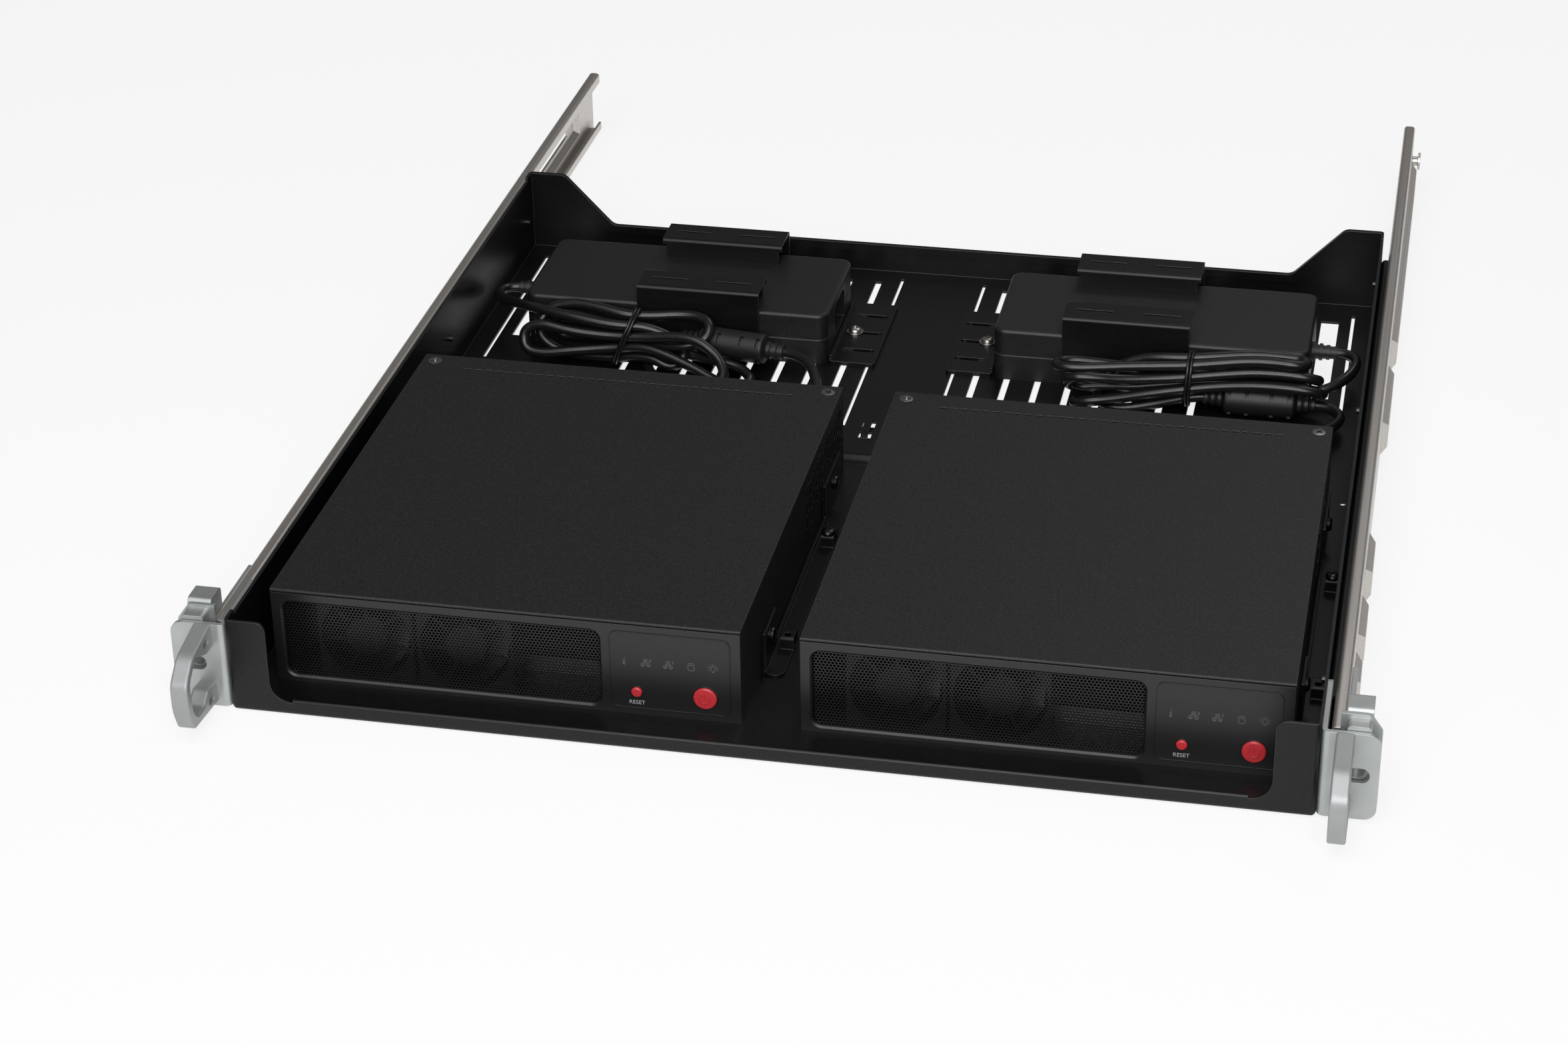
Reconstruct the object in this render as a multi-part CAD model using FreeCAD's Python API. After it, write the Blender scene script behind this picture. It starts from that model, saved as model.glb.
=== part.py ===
import FreeCAD
import Part
import math
import os

Vector = FreeCAD.Vector

# Tray of folded sheet, sliding in a 19-inch rack
SHEET = 1.2
BEND = 2.0
TRAY_HEIGHT = 42.0
CORNER_RISE = 2.0
CORNER_DEPTH = 9.0
FRONT_TAB = 17.1
FRONT_TAB_ROUND = 4.0
FRONT_CUT_ROUND = 9.0
LIP_HEIGHT = 7.0
HEM = 4.0
REAR_TAB = 19.0
REAR_SLOPE = 25.0
REAR_LOW = 16.0
REAR_ROUND = 6.0

# Room on the tray round the servers, the adapters and their leads
SERVER_GAP = 24.2
SIDE_ROOM = 10.2
FRONT_ROOM = 24.3
CORD_BAY = 106.7
REAR_ROOM = 46.0
STOP_SPACE = 35.0
RELIEF_ROOM = 26.8

# Slots in the tray floor: distances from the middle, the walls, the servers and the adapters
SLOT_FIRST = 32.5
SLOT_PITCH = 15.0
SLOT_COUNT = 8
SLOT_WIDTH = 3.2
SLOT_LAG = 55.7
SLOT_MARGIN = 15.0
THIN_SLOT = 1.6
THIN_INNER = 21.0
THIN_INNER_LAG = 45.7
THIN_INNER_MARGIN = 10.0
THIN_OUTER_INSET = 11.5
THIN_OUTER_LEAD = 20.0
THIN_OUTER_MARGIN = 14.0
WIDE_SLOT_INSET = 18.2
WIDE_SLOT_WIDTH = 8.6
WIDE_SLOT_LAG = 6.0
WIDE_SLOT_MARGIN = 22.0
TIE_WINDOW = (-12.0, -6.0)
TIE_WINDOW_LAG = 34.7
TIE_WINDOW_LENGTH = 6.0
TIE_WINDOW_PITCH = 11.0
SPARE_HOLE_LAG = 9.7

# Slides: an inner rail on the tray runs in an outer rail in the rack
SLIDE_GAP = 0.3
RAIL_BEND = 0.6
RAIL_SPACE = 1.8
INNER_LAG = 3.0
INNER_MARGIN = 3.0
INNER_WEB = (9.0, 28.0)
OUTER_LENGTH = 611.0
OUTER_LIP_REACH = 3.3
OUTER_HEIGHT = (1.0, 35.0)
OUTER_LIP_HEIGHT = 4.6
RAIL_SCREW_LEAD = 25.0
RAIL_SCREW_TAILS = (152.0, 12.0)
RAIL_SCREW_Z = 20.0
EMBOSS_DEPTH = 3.0
EMBOSS_Z = (9.0, 26.0)
EMBOSS_FROM_FRONT = ((51.0, 73.0), (87.0, 119.0), (141.0, 173.0))
EMBOSS_FROM_REAR = ((333.0, 274.0), (246.0, 28.0))
EMBOSS_SLOT_FROM_REAR = (230.0, 44.0)
EMBOSS_SLOT_Z = (15.0, 20.0)
STUD_INSET = 16.0
STUD_Z = 22.0
STUD_RADIUS = 2.5
STUD_HEAD = 4.5

# Rack ears, their slots and the pull handles
EAR_REACH = 22.8
EAR_SHEET = 2.0
EAR_HEIGHT = (1.4, 39.4)
EAR_LEG = 42.0
EAR_ROUND = 5.0
EAR_SLOT_INSET = 8.75
EAR_SLOT_LENGTH = 10.4
EAR_SLOT_HALF = 3.3
EAR_SLOT_Z = 21.0
HANDLE_OFFSET = 5.5
HANDLE_WIDTH = 7.2
HANDLE_REACH = 30.8
HANDLE_HEIGHT = (3.4, 39.6)
HANDLE_STRAP = 4.4
HANDLE_SCREW_INSET = (4.8, 5.3)
HANDLE_ROUND = 0.9
HANDLE_HOLE = (3.2, 5.5)
HANDLE_HOLE_REACH = 9.5
HANDLE_SCREW_LENGTH = 5.0

# Rack bracket at the front end of each outer rail
BRACKET_FRONT = 9.0
BRACKET_SHEET = 2.0
BRACKET_LAP = 1.1
BRACKET_HEIGHT = (0.8, 42.8)
BRACKET_LEG = 60.0
BRACKET_LEG_Z = (3.0, 33.0)
PEG_SIZE = 9.2
PEG_ROUND = 1.6
PEG_PITCH = 31.4
PEG_FRONT = 2.4
BOSS_RADIUS = 4.6
BOSS_BORE = 3.4
BOSS_FRONT = 4.0
BLOCK_INSET = 3.9
BLOCK_DEPTH = 12.0
BLOCK_Z = (34.5, 44.0)

# Mini servers, side by side
SERVER_WIDTH = 195.0
SERVER_DEPTH = 220.0
SERVER_HEIGHT = 43.0
SKIN = 1.0
PANEL = 2.5
PANEL_SEAM = 0.6
WINDOW_LEFT = 4.6
WINDOW_LOW = 2.7
WINDOW_TOP_MARGIN = 4.1
WINDOW_GAP = 4.5
WINDOW_ROUND = 4.0
WINDOW_CHAMFER = 0.8
CONTROL_WIDTH = 49.0
CONTROL_MARGIN = 4.5
CONTROL_LOW = 3.3
CONTROL_TOP_MARGIN = 3.3
CONTROL_ROUND = 3.0
CONTROL_SHEET = 0.8
CONTROL_RECESS = 0.6
MESH_PITCH = 10.0
MESH_HOLE = 8.2
MESH_SHEET = 1.0
MESH_LAP = 2.0
MESH_LAP_LOW = 1.4
BUTTON_Z = 10.8
POWER_INSET = 14.7
POWER_RADIUS = 4.85
RESET_INSET = 42.9
RESET_RADIUS = 2.25
BUTTON_FIT = 0.3
BUTTON_PROUD = 1.2
BUTTON_EDGE = 0.5
BUTTON_FLANGE = 1.4
BUTTON_FLANGE_SHEET = 1.0
BUTTON_ROOM = 1.1
LOUVRE_MARGINS = (23.4, 22.4)
LOUVRE_PITCH = 4.81
LOUVRE_SIZE = (3.4, 1.4)
LOUVRE_BACK = 12.3
COVER_SCREW = 5.8
COVER_SCREW_LENGTH = 4.0
COVER_RETURN = 8.0
COVER_RETURN_GAP = 0.2
COVER_RETURN_ENDS = (6.0, 15.0)
CORNER_TAB = (10.0, 11.0, 2.0)
SIDE_VENT_INSETS = (83.0, 8.0)
SIDE_VENT_LOW = 12.0
SIDE_VENT_LIFT = 8.0
SIDE_VENT_TOP_MARGIN = 6.0
SIDE_VENT_COUNT = 12
REAR_VENT_INSETS = (14.0, 11.0)
REAR_VENT_HEIGHT = 11.0
REAR_VENT_TOP_MARGIN = 5.0
REAR_VENT_COUNT = 18
VENT_WIDTH = 3.4
SIDE_SCREW_FRONT = (51.1, 12.5)
SIDE_SCREW_REAR = (30.5, 10.8)
SIDE_SCREW_LENGTH = 5.0

# Inside each server
FAN_LEFT = 17.8
FAN_SPACE = 1.8
FAN_ROOM = 1.0
FAN_GAP = 1.1
FAN_DEPTH = 15.0
FAN_WALL = 1.0
FAN_ROUND = 2.5
FAN_HUB = 9.5
FAN_TIP_GAP = 2.0
FAN_FRONT_GAP = 1.0
FAN_CUP = 3.0
FAN_CUP_GAP = 1.2
FAN_STRUT = 2.4
FAN_BLADES = 7
BLADE_SHEET = 1.2
BLADE_SWEEPS = (2.2, 5.2)
SHAFT = 1.5
SHAFT_FIT = 0.05
DRIVE_INSET = 9.0
DRIVE_LAG = 4.4
DRIVE_SIZE = (100.0, 70.0, 7.0)
BOARD_INSET = 8.0
BOARD_LAG = 6.0
BOARD_BACK = 6.0
BOARD_Z = 6.0
BOARD_SHEET = 1.6
POST_RADIUS = 3.0
SINK_LEFT = 30.0
SINK_RIGHT = 87.0
SINK_FRONT = 15.0
SINK_BACK = 29.0
SINK_BASE = 4.0
SINK_ROOM = 4.0
SINK_FINS = 13
FIN_SHEET = 1.6
CHIP_SIZE = 36.0
CHIP_HEIGHT = 3.0
JACK_INSET = 21.0
JACK_Z = 10.8
JACK_BORE = 2.95
JACK_HALF = 4.5
PORTS = ((28.0, 44.0, 21.5), (50.0, 66.0, 21.5), (73.0, 87.0, 23.0), (93.0, 107.0, 23.0),
         (114.0, 130.0, 13.5))
PORT_FIT = 0.4
PORT_WALL = 1.5
PORT_DEPTH = 11.0
PORT_MOUTH = 8.0

# Server fixing bracket on the tray floor, beside each server's right side
FOOT_LEAD = 37.7
FOOT_TAIL = 54.0
FOOT_GAP = 0.4
FOOT_WALL_GAP = 0.8
FOOT_ROUND = 4.0
FOOT_LIP = 2.2
FOOT_LIP_INSET = 20.0
FOOT_EAR_FRONT = (39.7, 62.7)
FOOT_EAR_REAR = (50.5, 15.3)
FOOT_EAR_TOP = 19.0
FOOT_TAB_LEAD = 58.7
FOOT_TAB_TAIL = 73.0
FOOT_TAB_DEPTH = 8.5
FOOT_TAB_TOP = 8.0
FOOT_TAB_INSET = 3.2

# Power adapters and what holds them
ADAPTER_LENGTH = 150.0
ADAPTER_DEPTH = 68.0
ADAPTER_HEIGHT = 26.0
ADAPTER_CORNER = 5.5
ADAPTER_TOP_ROUND = 1.8
ADAPTER_GROOVE = 0.4
INLET_SIZE = (28.0, 20.0)
INLET_MOUTH = (24.4, 16.4)
INLET_CHAMFER = 3.5
INLET_DEPTH = 18.0
INLET_CAVITY = 15.0
INLET_PIN = (4.0, 2.0)
INLET_PIN_LENGTH = 9.0
INLET_PIN_PITCH = 7.0
INLET_PIN_RISE = 2.0
CLIP_OFFSET = 33.1
CLIP_LENGTH = 60.4
CLIP_RISE = 9.8
CLIP_DEPTH = 20.0
CLIP_GAP = 0.2
CLIP_FLANGE_INSET = 1.8
CLIP_SLOT = (17.5, 1.6)
CLIP_SLOT_OFFSET = 16.1
CLIP_REAR_ROOM = 6.5
CLIP_TAB_OFFSET = 18.0
CLIP_TAB_WIDTH = 6.0
STOP_LENGTH = 22.5
STOP_GAP = 0.5
STOP_ENDS = (1.0, 0.5)
STOP_ROUND = 1.5
STOP_SHEET = 2.0
STOP_FLANGE = 5.0
STOP_SLOT_PITCH = 19.5
STOP_SLOT_SHIFT = 0.5
STOP_SLOT_INSETS = (2.0, 4.4)
STOP_SLOT_WIDTH = 3.2
STOP_SCREW_INSET = 15.5

# Leads from the adapters, bundled into a tied hank, to the server jacks
CORD_RADIUS = 2.5
RELIEF_SHIFT = {"left": 0.0, "right": -4.0}
RELIEF_LENGTH = 12.5
RELIEF_RADII = (4.6, 3.1)
RELIEF_RIBS = 4
RELIEF_RIB = 1.6
RELIEF_PITCH = 3.4
FERRITE_RADIUS = 6.5
FERRITE_LENGTH = 33.0
FERRITE_EDGE = 1.2
SLEEVE_LENGTH = 9.0
SLEEVE_WALLS = (0.5, 1.4)
PLUG_GAP = 0.1
PLUG_RADIUS = 5.0
PLUG_LENGTH = 18.0
PLUG_TAIL = 15.0
PLUG_TAIL_RADII = (3.8, 2.7)
PLUG_BARREL = 2.75
PLUG_BARREL_LENGTH = 10.0
HANK_ROUND = 4.0
TIE_WIDTH = 3.0
TIE_THICK = 1.2
LEADS_DRAWN_AT = (190.5, 351.0)

# Fasteners
SCREW_RADIUS = 1.5
SCREW_FIT = 0.1
SCREW_HEAD = 3.1
SCREW_HEAD_HEIGHT = 2.0
SCREW_HEAD_EDGE = 0.7
SUNK_HEAD = 3.2
SUNK_DEPTH = 1.6
RAIL_SCREW_LENGTH = 4.5
FLOOR_SCREW_RAISE = 0.1
WASHER_RADIUS = 4.25
WASHER_SHEET = 0.8

# Where the parts stand on the tray: it is as wide as the wider row needs, servers or adapters
FLOOR = SHEET
SERVER_ROW = SERVER_GAP / 2 + SERVER_WIDTH + SIDE_ROOM
ADAPTER_ROW = STOP_SPACE / 2 + STOP_LENGTH + STOP_GAP + ADAPTER_LENGTH + RELIEF_ROOM
HALF_WIDTH = max(SERVER_ROW, ADAPTER_ROW) + SHEET
SERVER_LEFTS = {"left": -SERVER_GAP / 2 - SERVER_WIDTH, "right": SERVER_GAP / 2}
SERVER_FRONT = FRONT_ROOM
SERVER_REAR = SERVER_FRONT + SERVER_DEPTH
STOP_X = (STOP_SPACE / 2, STOP_SPACE / 2 + STOP_LENGTH)
ADAPTER_X = (STOP_X[1] + STOP_GAP, STOP_X[1] + STOP_GAP + ADAPTER_LENGTH)
ADAPTER_Y = (SERVER_REAR + CORD_BAY, SERVER_REAR + CORD_BAY + ADAPTER_DEPTH)
ADAPTER_MIDDLE = sum(ADAPTER_Y) / 2
ADAPTER_SPLIT = FLOOR + ADAPTER_HEIGHT / 2
ADAPTER_TOP = FLOOR + ADAPTER_HEIGHT
TRAY_DEPTH = ADAPTER_Y[1] + REAR_ROOM
SIDE_HEIGHT = TRAY_HEIGHT - CORNER_RISE

# Floor slots
SLOT_SPAN = (SERVER_REAR + SLOT_LAG, TRAY_DEPTH - SLOT_MARGIN)
THIN_INNER_SPAN = (SERVER_REAR + THIN_INNER_LAG, TRAY_DEPTH - THIN_INNER_MARGIN)
THIN_OUTER = HALF_WIDTH - THIN_OUTER_INSET
THIN_OUTER_SPAN = (ADAPTER_Y[0] - THIN_OUTER_LEAD, TRAY_DEPTH - THIN_OUTER_MARGIN)
WIDE_SLOT = (HALF_WIDTH - WIDE_SLOT_INSET - WIDE_SLOT_WIDTH, HALF_WIDTH - WIDE_SLOT_INSET)
WIDE_SLOT_SPAN = (ADAPTER_Y[0] + WIDE_SLOT_LAG, TRAY_DEPTH - WIDE_SLOT_MARGIN)

# Slides, ears, handles and brackets
OUTER_LIP = HALF_WIDTH + OUTER_LIP_REACH
OUTER_WEB = OUTER_LIP + 2 * SHEET + SLIDE_GAP + RAIL_SPACE
OUTER_FACE = OUTER_WEB + SHEET
BRACKET_BACK = BRACKET_FRONT + BRACKET_SHEET
BRACKET_EDGE = OUTER_WEB - BRACKET_LAP
OUTER_SPAN = (BRACKET_BACK, BRACKET_BACK + OUTER_LENGTH)
INNER_SPAN = (EAR_LEG + INNER_LAG, TRAY_DEPTH - INNER_MARGIN)
RAIL_SCREW_Y = [INNER_SPAN[0] + RAIL_SCREW_LEAD] + [INNER_SPAN[1] - tail for tail in RAIL_SCREW_TAILS]
EMBOSS_Y = [(OUTER_SPAN[0] + near, OUTER_SPAN[0] + far) for near, far in EMBOSS_FROM_FRONT]
EMBOSS_Y += [(OUTER_SPAN[1] - near, OUTER_SPAN[1] - far) for near, far in EMBOSS_FROM_REAR]
EMBOSS_SLOT = [OUTER_SPAN[1] - inset for inset in EMBOSS_SLOT_FROM_REAR]
STUD = (OUTER_SPAN[1] - STUD_INSET, STUD_Z)
EAR_EDGE = HALF_WIDTH + EAR_REACH
SLOT_X = EAR_EDGE - EAR_SLOT_INSET
HANDLE_X = (HALF_WIDTH + HANDLE_OFFSET, HALF_WIDTH + HANDLE_OFFSET + HANDLE_WIDTH)
HANDLE_SCREW_Z = (HANDLE_HEIGHT[0] + HANDLE_SCREW_INSET[0], HANDLE_HEIGHT[1] - HANDLE_SCREW_INSET[1])
PEG_Z = (EAR_SLOT_Z - PEG_PITCH / 2, EAR_SLOT_Z + PEG_PITCH / 2)
BLOCK_X = (OUTER_FACE, EAR_EDGE - BLOCK_INSET)
CENTRE_Y = (OUTER_SPAN[1] - HANDLE_REACH) / 2

# Server fronts and cases, from each server's own left front corner
PANEL_TOP = SERVER_HEIGHT - SKIN - PANEL_SEAM
CONTROL_X = (SERVER_WIDTH - CONTROL_MARGIN - CONTROL_WIDTH, SERVER_WIDTH - CONTROL_MARGIN)
CONTROL_Z = (CONTROL_LOW, PANEL_TOP - CONTROL_TOP_MARGIN)
WINDOW_X = (WINDOW_LEFT, CONTROL_X[0] - WINDOW_GAP)
WINDOW_Z = (WINDOW_LOW, PANEL_TOP - WINDOW_TOP_MARGIN)
POWER_X = SERVER_WIDTH - POWER_INSET
RESET_X = SERVER_WIDTH - RESET_INSET
BUTTON_BACK = (PANEL + BUTTON_ROOM, PANEL + BUTTON_ROOM + BUTTON_FLANGE_SHEET)
LOUVRE_COUNT = int((SERVER_WIDTH - sum(LOUVRE_MARGINS)) / LOUVRE_PITCH) + 1
SIDE_VENT_Y = (SERVER_DEPTH - SIDE_VENT_INSETS[0], SERVER_DEPTH - SIDE_VENT_INSETS[1])
SIDE_VENT_Z = (SIDE_VENT_LOW, SERVER_HEIGHT - SIDE_VENT_TOP_MARGIN)
REAR_VENT_X = (REAR_VENT_INSETS[0], SERVER_WIDTH - REAR_VENT_INSETS[1])
REAR_VENT_TOP = SERVER_HEIGHT - REAR_VENT_TOP_MARGIN
REAR_VENT_Z = (REAR_VENT_TOP - REAR_VENT_HEIGHT, REAR_VENT_TOP)
SIDE_SCREW = (SIDE_SCREW_FRONT, (SERVER_DEPTH - SIDE_SCREW_REAR[0], SIDE_SCREW_REAR[1]))
JACK_X = SERVER_WIDTH - JACK_INSET

# Inside each server
FAN_SIZE = SERVER_HEIGHT - 2 * SKIN - FAN_ROOM
FAN_X = (FAN_LEFT + FAN_SIZE / 2, FAN_LEFT + FAN_SIZE * 3 / 2 + FAN_SPACE)
FAN_Y = PANEL + MESH_SHEET + FAN_GAP
FAN_BORE = FAN_SIZE / 2 - FAN_WALL
FAN_TIP = FAN_BORE - FAN_TIP_GAP
HUB_LENGTH = FAN_DEPTH - FAN_FRONT_GAP - FAN_CUP - FAN_CUP_GAP
DRIVE_X = (SERVER_WIDTH - DRIVE_INSET - DRIVE_SIZE[0], SERVER_WIDTH - DRIVE_INSET)
DRIVE_Y = (FAN_Y + FAN_DEPTH + DRIVE_LAG, FAN_Y + FAN_DEPTH + DRIVE_LAG + DRIVE_SIZE[1])
BOARD_X = (BOARD_INSET, SERVER_WIDTH - BOARD_INSET)
BOARD_Y = (DRIVE_Y[1] + BOARD_LAG, SERVER_DEPTH - BOARD_BACK)
BOARD_TOP = BOARD_Z + BOARD_SHEET
CHIP_TOP = BOARD_TOP + CHIP_HEIGHT
SINK_X = (SINK_LEFT, BOARD_X[1] - SINK_RIGHT)
SINK_Y = (BOARD_Y[0] + SINK_FRONT, BOARD_Y[1] - SINK_BACK)
SINK_TOP = SERVER_HEIGHT - SKIN - SINK_ROOM
CHIP_X = ((sum(SINK_X) - CHIP_SIZE) / 2, (sum(SINK_X) + CHIP_SIZE) / 2)
CHIP_Y = ((sum(SINK_Y) - CHIP_SIZE) / 2, (sum(SINK_Y) + CHIP_SIZE) / 2)

# Server brackets, clips and end stops
FOOT_X = (FOOT_GAP, SIDE_ROOM - FOOT_WALL_GAP)
FOOT_SPAN = (SERVER_FRONT + FOOT_LEAD, SERVER_REAR - FOOT_TAIL)
FOOT_EAR_Y = ((SERVER_FRONT + FOOT_EAR_FRONT[0], SERVER_FRONT + FOOT_EAR_FRONT[1]),
              (SERVER_REAR - FOOT_EAR_REAR[0], SERVER_REAR - FOOT_EAR_REAR[1]))
FOOT_TAB_Y = (SERVER_FRONT + FOOT_TAB_LEAD, SERVER_REAR - FOOT_TAB_TAIL)
FOOT_TAB_X = (FOOT_X[0] + FOOT_TAB_INSET, FOOT_X[1])
CLIP_X = (ADAPTER_X[0] + CLIP_OFFSET, ADAPTER_X[0] + CLIP_OFFSET + CLIP_LENGTH)
CLIP_TOP = ADAPTER_TOP + CLIP_RISE
CLIP_REAR = ADAPTER_Y[1] + CLIP_REAR_ROOM
STOP_Y = (ADAPTER_Y[0] + STOP_ENDS[0], ADAPTER_Y[1] + STOP_ENDS[1])
STOP_SLOT_X = (STOP_X[0] + STOP_SLOT_INSETS[0], STOP_X[1] - STOP_SLOT_INSETS[1])
STOP_SLOT_Y = [ADAPTER_MIDDLE + STOP_SLOT_SHIFT + STOP_SLOT_PITCH * i for i in (-1, 0, 1)]
STOP_SCREW = (STOP_X[0] + STOP_SCREW_INSET, STOP_SLOT_Y[1])

parts = {}


def box(x, y, z):
    """Block between two limits on each axis."""
    return Part.makeBox(x[1] - x[0], y[1] - y[0], z[1] - z[0], Vector(x[0], y[0], z[0]))


def rod(start, end, radius):
    """Round bar from one point to another."""
    first = Vector(*start)
    along = Vector(*end) - first
    return Part.makeCylinder(radius, along.Length, first, along)


def taper(start, end, radius, end_radius):
    """Cone frustum from one point to another."""
    first = Vector(*start)
    along = Vector(*end) - first
    return Part.makeCone(radius, end_radius, along.Length, first, along)


def on_xy(z):
    """Drawing plane seen from above."""
    return lambda u, v: Vector(u, v, z)


def on_xz(y):
    """Drawing plane seen from the front."""
    return lambda u, v: Vector(u, y, v)


def on_yz(x):
    """Drawing plane seen from the side."""
    return lambda u, v: Vector(x, u, v)


def outline(corners, place):
    """Closed wire through corners (u, v, radius), with a tangent arc at each radius."""
    stations = []
    count = len(corners)
    for i, (u, v, radius) in enumerate(corners):
        here = Vector(u, v, 0)
        if radius <= 0:
            stations.append((here, None, here))
            continue
        before = (Vector(corners[i - 1][0], corners[i - 1][1], 0) - here).normalize()
        after = (Vector(corners[(i + 1) % count][0], corners[(i + 1) % count][1], 0) - here).normalize()
        half = before.getAngle(after) / 2
        reach = radius / math.tan(half)
        inward = (before + after).normalize()
        middle = here + inward * (radius / math.sin(half) - radius)
        stations.append((here + before * reach, middle, here + after * reach))
    edges = []
    for i, (start, middle, end) in enumerate(stations):
        if middle is not None:
            arc = Part.Arc(place(start.x, start.y), place(middle.x, middle.y), place(end.x, end.y))
            edges.append(arc.toShape())
        following = stations[(i + 1) % count][0]
        if (following - end).Length > 1e-6:
            line = Part.LineSegment(place(end.x, end.y), place(following.x, following.y))
            edges.append(line.toShape())
    return Part.Wire(edges)


def plate(corners, place, push):
    """Rounded outline pushed along a vector."""
    return Part.Face(outline(corners, place)).extrude(Vector(*push))


def rectangle(u, v, radius=0):
    """Corners of a rectangle with equal rounding."""
    return [(u[0], v[0], radius), (u[1], v[0], radius), (u[1], v[1], radius), (u[0], v[1], radius)]


def strip(points, thickness, bend):
    """Corners of a bent sheet's section, from its middle line."""
    left = []
    right = []
    last = len(points) - 1
    for i, (u, v) in enumerate(points):
        here = Vector(u, v, 0)
        ways = []
        if i > 0:
            ways.append((here - Vector(points[i - 1][0], points[i - 1][1], 0)).normalize())
        if i < last:
            ways.append((Vector(points[i + 1][0], points[i + 1][1], 0) - here).normalize())
        first = Vector(-ways[0].y, ways[0].x, 0)
        second = Vector(-ways[-1].y, ways[-1].x, 0)
        offset = (first + second) * (thickness / 2 / (1 + first.dot(second)))
        turn = ways[0].cross(ways[-1]).z
        inside = bend if abs(turn) > 1e-6 else 0
        outside = bend + thickness if abs(turn) > 1e-6 else 0
        left_radius, right_radius = (inside, outside) if turn > 0 else (outside, inside)
        left.append((here.x + offset.x, here.y + offset.y, left_radius))
        right.append((here.x - offset.x, here.y - offset.y, right_radius))
    return left + right[::-1]


def mirrored(shape):
    """The same part for the left side."""
    return shape.mirror(Vector(0, 0, 0), Vector(1, 0, 0))


def moved(shape, x, y, z):
    """Copy shifted along the axes."""
    copy = shape.copy()
    copy.translate(Vector(x, y, z))
    return copy


def add(name, *solids):
    """Put solids under a node name."""
    parts.setdefault(name, []).extend(solids)


def add_pair(name, shape):
    """Add the right part and its mirrored left twin."""
    add(name + "_right", shape)
    add(name + "_left", mirrored(shape))


def sunk_screw(head, way, length):
    """Countersunk screw whose flat head lies at a point, pointing along a unit vector."""
    top = Vector(*head)
    along = Vector(*way)
    cone = Part.makeCone(SUNK_HEAD, SCREW_RADIUS, SUNK_DEPTH, top, along)
    shank = Part.makeCylinder(SCREW_RADIUS, length - SUNK_DEPTH, top + along * SUNK_DEPTH, along)
    return cone.fuse(shank).removeSplitter()


def sunk_hole(head, way, length):
    """Matching countersunk hole."""
    top = Vector(*head)
    along = Vector(*way)
    cone = Part.makeCone(SUNK_HEAD + SCREW_FIT, SCREW_RADIUS + SCREW_FIT, SUNK_DEPTH, top, along)
    return cone.fuse(Part.makeCylinder(SCREW_RADIUS + SCREW_FIT, length, top, along))


def pan_screw(seat, way, length):
    """Pan-head screw seated at a point, its shank along a unit vector."""
    foot = Vector(*seat)
    along = Vector(*way)
    head = Part.makeCylinder(SCREW_HEAD, SCREW_HEAD_HEIGHT, foot - along * SCREW_HEAD_HEIGHT, along)
    rim = [edge for edge in head.Edges if edge.Curve.TypeId == "Part::GeomCircle"
           and (edge.Curve.Center - foot).Length > 0.1]
    head = head.makeChamfer(SCREW_HEAD_EDGE, rim)
    return head.fuse(Part.makeCylinder(SCREW_RADIUS, length, foot, along))


def floor_hole(x, y):
    """Clearance hole through the tray floor and what lies on it."""
    return rod((x, y, -1), (x, y, FOOT_TAB_TOP + 1), SCREW_RADIUS + SCREW_FIT)


def server_screw_places():
    """Floor screws of the server brackets: x, y and the height of the seat."""
    places = []
    for left in SERVER_LEFTS.values():
        x = left + SERVER_WIDTH + sum(FOOT_TAB_X) / 2
        places.append((x, FOOT_TAB_Y[1] + FOOT_TAB_DEPTH / 3, FOOT_TAB_TOP))
    return places


def stop_screw_places():
    """Floor screws of the adapter end stops, seated on washers."""
    seat = FLOOR + STOP_SHEET + WASHER_SHEET
    return [(side * STOP_SCREW[0], STOP_SCREW[1], seat) for side in (-1, 1)]


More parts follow.
